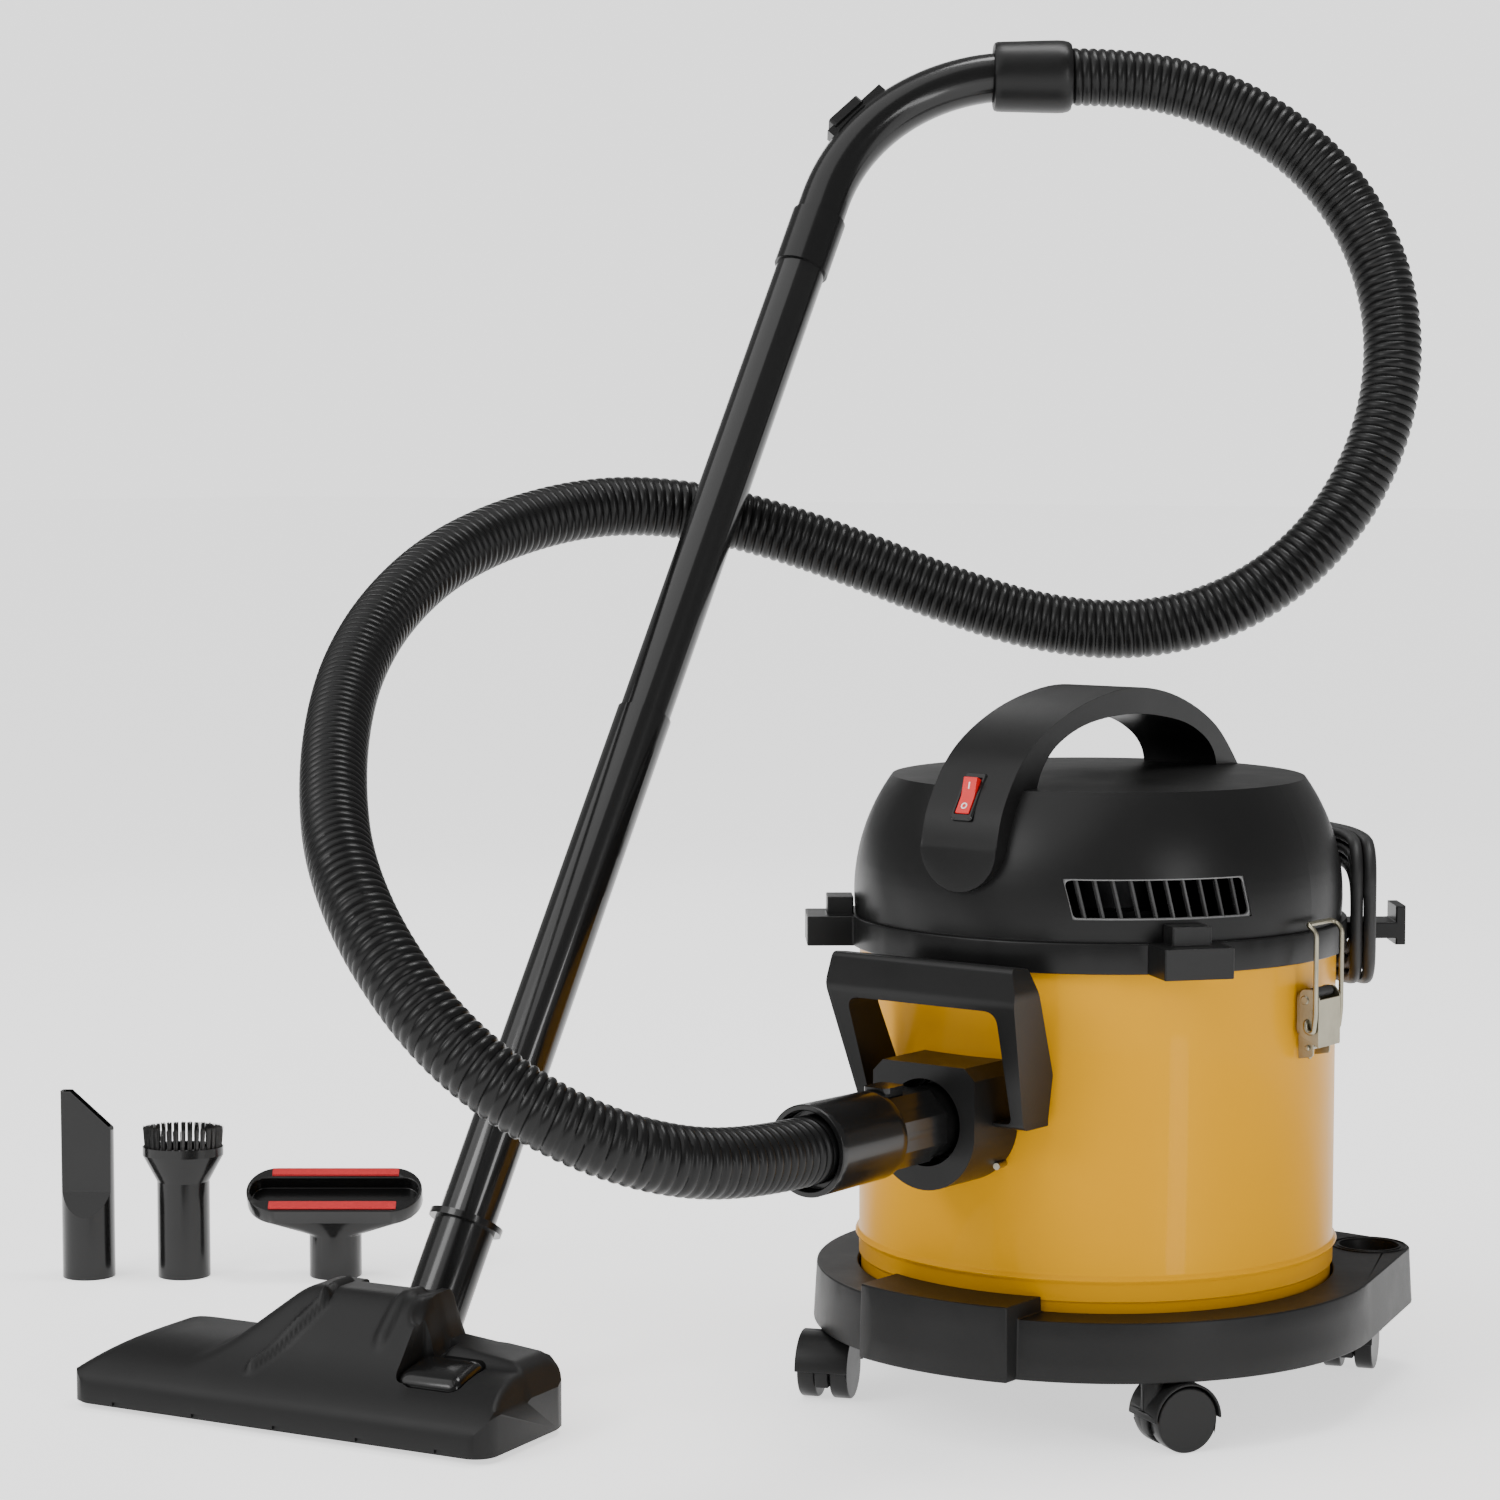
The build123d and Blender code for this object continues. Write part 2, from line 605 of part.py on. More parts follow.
# ---------------------------------------------------------------- latches on the drum's sides
latch_half = 13.0
plate_low = 214.0
plate_high = 262.0
lever_z = 224.0
lever_x = 153.0
lever_pin_r = 2.0
lever_len = 35.0
bail_z = 240.0
bail_x = 153.5
wire_r = 1.5
bail_top = 297.0
bail_lean = 6.5          # the unhooked bail stands this many degrees off the drum
hook_in = 6.0            # how far the bail's bar is bent in over the flange
plate_t = 2.0
plate_x = drum_r + 1.9   # middle of the bracket's plate
sheet_t = 1.2            # sheet of the ears and of the lever
ear_x = 151.5
cheek_x = 155.75         # middle of the lever's cheeks
cheek_w = 11.5
cheek_gap = 1.7          # from the ears' outside to the cheeks' outside
rivet_r = 2.2
for side, turn in (("right", 1), ("left", -1)):
    with BuildPart() as bracket:
        with BuildSketch(Plane.XY.offset(plate_low)):
            with Locations((turn * plate_x, 0)):
                Rectangle(plate_t, 2 * latch_half)
        extrude(amount=plate_high - plate_low)
        for edge in (-latch_half, latch_half - sheet_t):
            with BuildSketch(Plane.XZ.offset(-edge - sheet_t)):
                with Locations((turn * ear_x, lever_z)):
                    Rectangle(13, 16)
                with Locations((turn * lever_x, lever_z)):
                    Circle(lever_pin_r + run_gap, mode=Mode.SUBTRACT)
            extrude(amount=sheet_t)
    keep(bracket, f"latch_bracket_{side}")
    with BuildPart() as lever:
        with BuildSketch(Plane.XY.offset(lever_z + 1)):
            with Locations((turn * (cheek_x + (cheek_w - sheet_t) / 2), 0)):
                Rectangle(sheet_t, 2 * (latch_half - cheek_gap))
        extrude(amount=lever_len - 1)
        for edge in (-latch_half + cheek_gap, latch_half - cheek_gap - sheet_t):
            with BuildSketch(Plane.XZ.offset(-edge - sheet_t)):
                with Locations((turn * cheek_x, lever_z + (lever_len + 1) / 2)):
                    Rectangle(cheek_w, lever_len - 1)
                with Locations((turn * lever_x, lever_z)):
                    Circle(3.4)
                with Locations((turn * bail_x, bail_z)):
                    Circle(wire_r + run_gap, mode=Mode.SUBTRACT)
            extrude(amount=sheet_t)
        with BuildSketch(Plane.XZ.offset(-latch_half)):
            with Locations((turn * lever_x, lever_z)):
                Circle(lever_pin_r)
        extrude(amount=2 * latch_half)
    keep(lever, f"latch_lever_{side}")
    lean = radians(bail_lean)
    rise = bail_top - bail_z
    foot = (turn * bail_x, 0, bail_z)
    along = (turn * sin(lean), 0, cos(lean))
    inward = (-turn * cos(lean), 0, sin(lean))
    half = latch_half + 2.2
    inner = latch_half - 6
    top = [foot[k] + rise * along[k] for k in range(3)]
    tip = [top[k] + hook_in * inward[k] for k in range(3)]
    with BuildPart() as bail:
        with BuildLine():
            FilletPolyline((foot[0], -inner, foot[2]), (foot[0], -half, foot[2]), (top[0], -half, top[2]),
                           (tip[0], -half, tip[2]), (tip[0], half, tip[2]), (top[0], half, top[2]),
                           (foot[0], half, foot[2]), (foot[0], inner, foot[2]), radius=2.4)
        with BuildSketch(Plane.XZ.offset(inner)):
            with Locations((foot[0], foot[2])):
                Circle(wire_r)
        sweep()
    keep(bail, f"latch_bail_{side}")

with BuildPart() as latch_rivets:
    for turn in (1, -1):
        with BuildSketch(Plane.YZ.offset(turn * (plate_x + plate_t / 2))):
            with Locations((-5, plate_high - 6), (5, plate_high - 6), (0, plate_low + 4)):
                Circle(rivet_r)
        extrude(amount=turn * 1.2)
keep(latch_rivets, "latch_rivets")

# ---------------------------------------------------------------- hose end in the port
cuff_bore = 17.5
grip_flats_r = 22.6      # across the corners of the eight-sided hose end
cuff_back = drum_r - 16  # the hose end reaches this far in
collar_start = 236.0
collar_end = 298.0
collar_r = 25.4
hose_seat = 8.0          # depth of the recess that the hose goes into
hose_r = hose_d / 2
button_start = 214.0
button_len = 20.0
button_w = 17.0
button_rise = 3.2
button_travel = 2.5
with BuildPart() as cuff_body:
    with BuildSketch(facing(-90, cuff_back, port_z)):
        Circle(cuff_r)
    extrude(amount=collar_start - cuff_back)
    with BuildSketch(facing(-90, front_y + 3, port_z)):
        RegularPolygon(grip_flats_r, 8, rotation=22.5)
    extrude(amount=collar_start - front_y - 3)
    with BuildSketch(facing(-90, cuff_back - 1, port_z)):
        Circle(cuff_bore)
    extrude(amount=collar_start - cuff_back + 2, mode=Mode.SUBTRACT)
    # shallow pocket in the top flat for the lock button
    with BuildSketch(Plane.XY.offset(port_z + cuff_bore + 0.7)):
        with Locations((0, -button_start - button_len / 2)):
            Rectangle(button_w - 3 + 2 * fit_gap, button_len - 3 + 2 * fit_gap)
    extrude(amount=20, mode=Mode.SUBTRACT)
keep(cuff_body, "hose_end_body")

flat_z = port_z + grip_flats_r * cos(radians(22.5))
with BuildPart() as cuff_button:
    with BuildSketch(Plane.XY.offset(flat_z + button_travel + 0.2)):
        with Locations((0, -button_start - button_len / 2)):
            RectangleRounded(button_w, button_len, 4)
    extrude(amount=button_rise)
    with BuildSketch(Plane.XY.offset(port_z + cuff_bore + 0.7 + button_travel + 0.2)):
        with Locations((0, -button_start - button_len / 2)):
            Rectangle(button_w - 3, button_len - 3)
    extrude(amount=flat_z - port_z - cuff_bore)
keep(cuff_button, "hose_end_button")

with BuildPart() as cuff_collar:
    with BuildSketch(facing(-90, collar_start, port_z)):
        Circle(collar_r)
    extrude(amount=collar_end - collar_start, taper=-0.6)
    with BuildSketch(facing(-90, collar_start - 1, port_z)):
        Circle(cuff_bore)
    extrude(amount=collar_end - collar_start, mode=Mode.SUBTRACT)
    with BuildSketch(facing(-90, collar_end - hose_seat, port_z)):
        Circle(hose_r + 3)
    extrude(amount=hose_seat + 1, mode=Mode.SUBTRACT)
keep(cuff_collar, "hose_end_collar")

# ---------------------------------------------------------------- wand, from the nozzle's neck to the hand grip
tube_lower_r = tube_upper_r + run_gap + tube_wall
neck_r = tube_lower_r + run_gap + tube_wall
pivot = Vector(-290, -298, 30)
wand_rise = 60.0         # degrees above the floor
wand_dir = Vector(0, cos(radians(wand_rise)), sin(radians(wand_rise)))
neck_from = 10.0         # places along the wand, from the neck's pivot
neck_to = 88.0
lower_from = 60.0
lower_to = 433.0
upper_from = 393.0
upper_to = 786.0
socket_from = 766.0
bend_from = 820.0
bend_r = 137.0
nozzle_yaw = 9.5
barrel_r = 13.0
barrel_half = 25.6
neck_bore = 13.0
pin_r = 4.0
pin_len = 8.0


def along_wand(place):
    """Plane across the wand at a distance from the neck's pivot."""
    return Plane(origin=pivot + wand_dir * place, x_dir=(1, 0, 0), z_dir=wand_dir)


nozzle_x = Vector(cos(radians(nozzle_yaw)), sin(radians(nozzle_yaw)), 0)
barrel_plane = Plane(origin=pivot, x_dir=(0, 0, 1), z_dir=nozzle_x)
with BuildPart() as nozzle_neck:
    with BuildSketch(along_wand(neck_from)):
        Circle(neck_r)
    extrude(amount=neck_to - neck_from)
    with BuildSketch(along_wand(neck_to - 4)):
        Circle(neck_r + 4)
    extrude(amount=4)
    with BuildSketch(barrel_plane.offset(-barrel_half)):
        Circle(barrel_r)
    extrude(amount=2 * barrel_half)
    with BuildSketch(along_wand(-barrel_r - 2)):
        Circle(neck_bore)
    extrude(amount=neck_to, mode=Mode.SUBTRACT)
    with BuildSketch(along_wand(lower_from - fit_gap)):
        Circle(tube_lower_r + run_gap)
    extrude(amount=neck_to, mode=Mode.SUBTRACT)
    for end in (-barrel_half, barrel_half):
        with BuildSketch(barrel_plane.offset(end)):
            Circle(pin_r + run_gap)
        extrude(amount=pin_len if end < 0 else -pin_len, mode=Mode.SUBTRACT)
keep(nozzle_neck, "nozzle_neck")

for name, start, end, outer in (("wand_lower", lower_from, lower_to, tube_lower_r),
                                ("wand_upper", upper_from, upper_to, tube_upper_r)):
    with BuildPart() as wand_tube:
        with BuildSketch(along_wand(start)):
            Circle(outer)
            Circle(outer - tube_wall, mode=Mode.SUBTRACT)
        extrude(amount=end - start)
    keep(wand_tube, name)

grip_yaw = 37.5
hose_dir = Vector(cos(radians(grip_yaw)), sin(radians(grip_yaw)), 0)
bend_turn = radians(wand_dir.get_angle(hose_dir))
bend_leg = bend_r * tan(bend_turn / 2)
bend_corner = pivot + wand_dir * (bend_from + bend_leg)
cuff_from = bend_leg - 15
cuff_to = bend_leg + 38
hose_start = cuff_to - hose_seat
pipe_end = hose_start - 4
pipe_wall = 2.5
bend_room = 1.3


def along_grip(place):
    """Plane across the grip's level end, at a distance from the corner of its bend."""
    return Plane(origin=bend_corner + hose_dir * place, x_dir=(0, 0, 1), z_dir=hose_dir)


toward = (hose_dir - wand_dir * wand_dir.dot(hose_dir)).normalized()
bend_mid = pivot + wand_dir * bend_from + toward * bend_r
slide_at = radians(27)
outward = wand_dir * sin(slide_at) - toward * cos(slide_at)
slide_dir = wand_dir * cos(slide_at) + toward * sin(slide_at)
pad_top = tube_upper_r + 2.6
pad_plane = Plane(origin=bend_mid + outward * bend_r, x_dir=slide_dir, z_dir=outward)
pad_l = 50.0
pad_w = 13.0
slide_l = 27.0
slide_travel = 12.0
with BuildPart() as grip_pipe:
    with BuildLine():
        FilletPolyline(pivot + wand_dir * (upper_to + fit_gap), bend_corner, bend_corner + hose_dir * pipe_end, radius=bend_r)
    with BuildSketch(along_wand(upper_to + fit_gap)):
        Circle(tube_upper_r)
    sweep()
    with BuildSketch(pad_plane.offset(tube_upper_r - 6)):
        Rectangle(pad_l, pad_w)
    extrude(amount=pad_top - tube_upper_r + 6)
    with BuildLine():
        FilletPolyline(pivot + wand_dir * (upper_to + fit_gap), bend_corner, bend_corner + hose_dir * pipe_end, radius=bend_r)
    with BuildSketch(along_wand(upper_to + fit_gap)):
        Circle(tube_upper_r - pipe_wall)
    sweep(mode=Mode.SUBTRACT)
    with BuildSketch(along_wand(socket_from)):
        Circle(tube_upper_r + run_gap + 1.8)
        Circle(tube_upper_r + run_gap, mode=Mode.SUBTRACT)
    extrude(amount=upper_to + fit_gap - socket_from)
    with BuildSketch(along_wand(upper_to + fit_gap)):
        Circle(tube_upper_r + run_gap + 1.8)
        Circle(tube_upper_r - pipe_wall, mode=Mode.SUBTRACT)
    extrude(amount=20)
    # bleed hole under the air slide
    with BuildSketch(pad_plane):
        with Locations((pad_l / 2 - 14, 0)):
            Rectangle(9, 6)
    extrude(amount=tube_upper_r + 5, mode=Mode.SUBTRACT)
keep(grip_pipe, "grip_pipe")

with BuildPart() as air_slide:
    with BuildSketch(pad_plane.offset(pad_top - 1.8)):
        with Locations((-slide_travel / 2, 0)):
            RectangleRounded(slide_l, pad_w + 5, 2.4)
    extrude(amount=6)
    with BuildSketch(pad_plane.offset(pad_top - 3)):
        Rectangle(2 * pad_l, pad_w + 2 * run_gap)
    extrude(amount=3 + run_gap, mode=Mode.SUBTRACT)
keep(air_slide, "air_slide")

with BuildPart() as grip_cuff:
    with BuildSketch(along_grip(cuff_from)):
        Circle(24.6)
    extrude(amount=cuff_to - cuff_from)
    fillet(grip_cuff.edges(), 3)
    with BuildSketch(along_grip(cuff_from - 1)):
        Circle(tube_upper_r + run_gap)
    extrude(amount=pipe_end - cuff_from + 1 + fit_gap, mode=Mode.SUBTRACT)
    # the pipe still bends where the cuff starts, so the bore opens out there
    with BuildSketch(along_grip(cuff_from - 1)):
        Circle(tube_upper_r + bend_room)
    extrude(amount=bend_leg - cuff_from + 1, mode=Mode.SUBTRACT)
    with BuildSketch(along_grip(cuff_from)):
        Circle(tube_upper_r - pipe_wall)
    extrude(amount=cuff_to, mode=Mode.SUBTRACT)
    with BuildSketch(along_grip(hose_start)):
        Circle(hose_r + 1.2)
    extrude(amount=cuff_to, mode=Mode.SUBTRACT)
keep(grip_cuff, "grip_cuff")


# ---------------------------------------------------------------- hose and power cord
def bend_radii(points):
    """Radius of the arc at each inner point of a route."""
    radii = []
    for before, here, after in zip(points, points[1:], points[2:]):
        first = Vector(*here) - Vector(*before)
        second = Vector(*after) - Vector(*here)
        radii.append(0.45 * min(first.length, second.length) / tan(radians(first.get_angle(second)) / 2))
    return radii


def cord_tube(points, outer, bore, name):
    """Tube along straight runs joined by arcs, with its volume compared with section times length."""
    radii = bend_radii(points)
    with BuildPart() as piece:
        with BuildLine() as path:
            FilletPolyline(*points, radius=radii)
        with BuildSketch(Plane(origin=points[0], z_dir=Vector(*points[1]) - Vector(*points[0]))):
            Circle(outer)
            if bore:
                Circle(bore, mode=Mode.SUBTRACT)
        sweep()
    keep(piece, name)
    length = sum(edge.length for edge in path.edges())
    section = pi * (outer ** 2 - bore ** 2)
    print(name, "length", round(length), "volume ratio", round(piece.part.volume / section / length, 4),
          "radii", [round(radius) for radius in radii])


hose_first = bend_corner + hose_dir * hose_start
hose_second = hose_first + hose_dir * 48
hose_route = [tuple(hose_first), tuple(hose_second), (-106, 299, 815), (-64, 320, 791), (-26, 335, 755),
              (5, 339, 706), (23, 332, 650), (26, 315, 592), (14, 290, 538), (-12, 259, 494), (-48, 224, 465),
              (-93, 187, 453), (-141, 150, 459), (-190, 117, 477), (-240, 84, 501), (-290, 50, 522),
              (-334, 9, 536), (-368, -39, 537), (-386, -102, 524), (-388, -166, 504), (-374, -231, 475),
              (-346, -292, 443), (-308, -346, 411), (-264, -396, 378), (-216, -440, 344), (-162, -468, 303),
              (-104, -474, 256), (-52, -450, 219), (-16, -407, 197), (0, -349, 188), (0, hose_seat - collar_end, 188)]
cord_tube(hose_route, hose_r, hose_r - 1.8, "suction_hose")

cord_r = cord_d / 2
hank_in = rim_r + 0.5
hank_out = hank_in + 20
hank_bundle = 24.0       # height of the bundle of turns
hank_low = 245.0
hank_high = 342.0
hank_from = 24.0         # degrees; the loop's ends, and the inside of its ends
hank_hole_from = 32.6
gland_out = 174.0
with BuildPart() as cord_gland:
    with BuildSketch(facing(90, 124, gland_z)):
        Circle(gland_r + 4)
    extrude(amount=23)
    revolve(dome_face(-0.02, dome_z).sketch, axis=Axis.Z, mode=Mode.SUBTRACT)
    with BuildSketch(facing(90, 128, gland_z)):
        Circle(gland_r)
    extrude(amount=20)
    with BuildSketch(facing(90, 146, gland_z)):
        Circle(gland_r)
    extrude(amount=gland_out - 146, taper=3.5)
keep(cord_gland, "cord_gland")

lead_route = [(0, gland_out, gland_z), (0, 208, 350), (-4, 233, 322), (-14, 229, 287), (-38, 209, 264),
              (-72, 181, 257), (-102, 146, 256), (-119, 112, 256)]
cord_tube(lead_route, cord_r, 0, "power_cord_lead")


def wedge(start):
    """Wide wedge of the plan at the rear, between two equal angles."""
    reach = 3 * hank_out
    with BuildSketch() as plan:
        with BuildLine():
            Polyline((0, 0), polar(reach, start)[:2], (0, reach), polar(reach, 180 - start)[:2], (0, 0))
        make_face()
    return plan


with BuildPart() as hank:
    with BuildSketch(Plane.XY.offset(hank_low)):
        Circle(hank_out)
        Circle(hank_in, mode=Mode.SUBTRACT)
        add(wedge(hank_from).sketch, mode=Mode.INTERSECT)
    extrude(amount=hank_high - hank_low)
    with BuildSketch(Plane.XY.offset(hank_low + hank_bundle)):
        Circle(hank_out + 1)
        add(wedge(hank_hole_from).sketch, mode=Mode.INTERSECT)
    extrude(amount=hank_high - hank_low - 2 * hank_bundle, mode=Mode.SUBTRACT)
keep(hank, "power_cord_hank")

plug_r = 16.0
plug_angle = 110.0
plug_spot = polar((hank_in + hank_out) / 2 + 2, plug_angle)
plug_neck = 30.0
plug_body = 30.0
pin_gap = 19.0
plug_pin_r = 2.4
plug_pin_len = 19.0
with BuildPart() as plug:
    with BuildSketch(Plane(origin=(plug_spot[0], plug_spot[1], hank_low), z_dir=(0, 0, -1))):
        Circle(5)
    extrude(amount=plug_neck, taper=-5)
    with BuildSketch(Plane(origin=(plug_spot[0], plug_spot[1], hank_low - plug_neck), z_dir=(0, 0, -1))):
        Circle(plug_r)
    extrude(amount=plug_body)
    with BuildSketch(Plane(origin=(plug_spot[0], plug_spot[1], hank_low - plug_neck - plug_body), z_dir=(0, 0, -1))):
        with Locations((-pin_gap / 2, 0), (pin_gap / 2, 0)):
            Circle(plug_pin_r)
    extrude(amount=plug_pin_len)
keep(plug, "plug")

# ---------------------------------------------------------------- floor nozzle
nozzle_floor = Plane(origin=(pivot.X, pivot.Y, 0), x_dir=nozzle_x, z_dir=(0, 0, 1))
bar_mid = -38.0          # middle of the bar, across, from the neck
bar_half = 147.0
bar_front = -100.0
bar_back = -8.0
sole_z = 3.0
sole_h = 6.0
cover_z = sole_z + sole_h
wing_z = 42.0
nose_from = -34.0        # where the top turns into the nose
nose_mid = -77.0
nose_mid_z = 35.5
plan_over = 1.0          # the plan stands this far out of the side and front outlines
hump_z = 78.0
hump_left = -62.0
hump_right = 34.0
shell_wall = 2.6
notch_half = barrel_half + 0.4
notch_y = -22.0
ear_w = 5.0
mouth_half = 115.0
mouth_y = -53.0
mouth_w = 18.0
brush_y = -71.0
brush_w = 4.0
brush_h = 9.5
roller_y = -19.0
roller_r = 7.0
roller_axle = 1.5
roller_spots = [-64.0, 36.0]
pedal_x = 55.0
pedal_y = -61.0
pedal_w = 42.0
pedal_l = 34.0
pedal_z = 28.0
pedal_h = 9.0
pedal_gap = 0.9
pedal_pin_r = 1.8
pedal_side = Plane(origin=nozzle_floor.from_local_coords(Vector(pedal_x, pedal_y, pedal_z + pedal_h / 2)),
                   x_dir=(0, 0, 1), z_dir=nozzle_x)


def bar_outline(shrink):
    """Plan of the nozzle's bar with rounded corners."""
    mid_y = (bar_front + bar_back) / 2
    with BuildSketch() as plan:
        with Locations((bar_mid, mid_y)):
            RectangleRounded(2 * (bar_half - shrink), bar_back - bar_front - 2 * shrink, 14 - shrink)
    return plan


def bar_side(inset):
    """Side outline of the bar: upright back, flat top, long round nose."""
    back, front, top = bar_back - inset, bar_front + inset, wing_z - inset
    with BuildSketch(Plane(origin=(pivot.X, pivot.Y, 0), x_dir=nozzle_x.cross(Vector(0, 0, -1)),
                           z_dir=nozzle_x)) as side:
        with BuildLine():
            Polyline((front, cover_z + 5), (front, cover_z), (back, cover_z), (back, top - 7), (back - 7, top),
                     (nose_from, top))
            ThreePointArc((nose_from, top), (nose_mid + inset * 0.7, nose_mid_z - inset * 0.7),
                          (front, cover_z + 5))
        make_face()
    return side


def bar_face(inset):
    """Front outline of the bar: its ends slope in towards the top, the left one the most."""
    left, right, top = bar_mid - bar_half + inset, bar_mid + bar_half - inset, wing_z + 1 - inset
    with BuildSketch(Plane(origin=(pivot.X, pivot.Y, 0), x_dir=nozzle_x,
                           z_dir=nozzle_x.cross(Vector(0, 0, 1)))) as face:
        with BuildLine():
            Polyline((left, cover_z), (left + 3, cover_z + 11), (left + 19, cover_z + 25), (left + 46, top),
                     (right - 30, top), (right - 14, cover_z + 26), (right, cover_z), (left, cover_z))
        make_face()
    return face


def bar_block(inset):
    """The bar as a solid, or its hollow with an inset."""
    with BuildPart() as block:
        with BuildSketch(nozzle_floor.offset(cover_z)):
            add(bar_outline(inset - plan_over).sketch)
        extrude(amount=wing_z - cover_z)
        extrude(bar_side(inset).sketch, amount=2 * bar_half, both=True, mode=Mode.INTERSECT)
        extrude(bar_face(inset).sketch, amount=2 * bar_half, both=True, mode=Mode.INTERSECT)
    return block


with BuildPart() as nozzle_cover:
    add(bar_block(0).part)
    with BuildSketch(nozzle_floor.offset(cover_z)):
        with Locations(((hump_left + hump_right) / 2, (bar_front + bar_back) / 2 + 6)):
            Rectangle(hump_right - hump_left, bar_back - bar_front - 16)
    extrude(amount=hump_z - cover_z, taper=16)
    add(bar_block(shell_wall).part, mode=Mode.SUBTRACT)
    with BuildSketch(nozzle_floor.offset(cover_z)):
        with Locations(((hump_left + hump_right) / 2, (bar_front + bar_back) / 2 + 6)):
            Rectangle(hump_right - hump_left - 2 * shell_wall, bar_back - bar_front - 16 - 2 * shell_wall)
    extrude(amount=hump_z - cover_z - shell_wall, taper=16, mode=Mode.SUBTRACT)
    # ears that hold the neck's barrel
    for end in (-notch_half - ear_w, notch_half):
        with BuildSketch(Plane(origin=pivot + nozzle_x * end, x_dir=nozzle_x.cross(Vector(0, 0, 1)), z_dir=nozzle_x)):
            Circle(barrel_r)
            with Locations((14, -6)):
                Rectangle(34, barrel_r * 2 - 12)
        extrude(amount=ear_w)
    with BuildSketch(nozzle_floor.offset(cover_z - 2)):
        with Locations((0, notch_y + 30)):
            Rectangle(2 * notch_half, 60)
    extrude(amount=hump_z, mode=Mode.SUBTRACT)
    for end, way in ((-notch_half, 1), (notch_half, -1)):
        with BuildSketch(Plane(origin=pivot + nozzle_x * end, x_dir=(0, 0, 1), z_dir=nozzle_x)):
            Circle(pin_r)
        extrude(amount=way * (pin_len - 0.5))
    # well that holds the pedal's pins
    with BuildSketch(nozzle_floor.offset(pedal_z - 6)):
        with Locations((pedal_x, pedal_y)):
            Rectangle(pedal_w + 2 * pedal_gap + 2 * shell_wall, pedal_l + 2 * pedal_gap + 2 * shell_wall)
    extrude(amount=wing_z - pedal_z + 5)
    with BuildSketch(nozzle_floor.offset(cover_z)):
        with Locations((pedal_x, pedal_y)):
            Rectangle(pedal_w + 2 * pedal_gap, pedal_l + 2 * pedal_gap)
    extrude(amount=hump_z, mode=Mode.SUBTRACT)
    with BuildSketch(pedal_side.offset(-pedal_w / 2 - pedal_gap - shell_wall - 1)):
        Circle(pedal_pin_r + run_gap)
    extrude(amount=pedal_w + 2 * pedal_gap + 2 * shell_wall + 2, mode=Mode.SUBTRACT)
keep(nozzle_cover, "nozzle_cover")

with BuildPart() as nozzle_sole:
    with BuildSketch(nozzle_floor.offset(sole_z)):
        add(bar_outline(0.4).sketch)
        with Locations((bar_mid, mouth_y)):
            Rectangle(2 * mouth_half, mouth_w, mode=Mode.SUBTRACT)
        with Locations((bar_mid, brush_y)):
            Rectangle(2 * mouth_half + 1, brush_w + 1, mode=Mode.SUBTRACT)
        with Locations(*[(spot, roller_y) for spot in roller_spots]):
            Rectangle(10, 2 * roller_r + 1.6, mode=Mode.SUBTRACT)
    extrude(amount=sole_h - 0.05)
    with BuildSketch(Plane(origin=pivot + nozzle_x * (roller_spots[0] - 9), x_dir=(0, 0, 1), z_dir=nozzle_x)):
        with Locations((roller_r - pivot.Z, -roller_y)):
            Circle(roller_axle + run_gap)
    extrude(amount=roller_spots[1] - roller_spots[0] + 18, mode=Mode.SUBTRACT)
keep(nozzle_sole, "nozzle_sole")

with BuildPart() as nozzle_rollers:
    for spot in roller_spots:
        with BuildSketch(Plane(origin=pivot + nozzle_x * (spot - 4), x_dir=(0, 0, 1), z_dir=nozzle_x)):
            with Locations((roller_r - pivot.Z, -roller_y)):
                Circle(roller_r)
        extrude(amount=8)
    with BuildSketch(Plane(origin=pivot + nozzle_x * (roller_spots[0] - 8), x_dir=(0, 0, 1), z_dir=nozzle_x)):
        with Locations((roller_r - pivot.Z, -roller_y)):
            Circle(roller_axle)
    extrude(amount=roller_spots[1] - roller_spots[0] + 16)
keep(nozzle_rollers, "nozzle_rollers")

with BuildPart() as nozzle_brush:
    with BuildSketch(nozzle_floor.offset(0.3)):
        with Locations((bar_mid, brush_y)):
            Rectangle(2 * mouth_half, brush_w)
    extrude(amount=brush_h)
keep(nozzle_brush, "nozzle_brush")

with BuildPart() as nozzle_pedal:
    with BuildSketch(nozzle_floor.offset(pedal_z)):
        with Locations((pedal_x, pedal_y)):
            RectangleRounded(pedal_w, pedal_l, 4)
    extrude(amount=pedal_h)
    with BuildSketch(pedal_side.offset(-pedal_w / 2 - pedal_gap - shell_wall + 0.5)):
        Circle(pedal_pin_r)
    extrude(amount=pedal_w + 2 * pedal_gap + 2 * shell_wall - 1)
keep(nozzle_pedal, "nozzle_pedal")

# ---------------------------------------------------------------- three tools that stand beside the machine
tool_wall = 1.6
tool_bore = tube_upper_r + run_gap
tool_r = tool_bore + tool_wall


def tool_floor(spot):
    """Floor plane under a tool, turned to face the front right."""
    return Plane(origin=(spot[0], spot[1], 0), x_dir=hose_dir, z_dir=(0, 0, 1))


crevice_spot = (-716.0, -172.0)
brush_spot = (-664.0, -131.0)
upholstery_spot = (-580.0, -67.0)
crevice_h = 130.0
crevice_socket = 44.0    # depth of the push fit, up to a small step
stop_step = 0.6
blade_half = 7.0
blade_from = 46.0


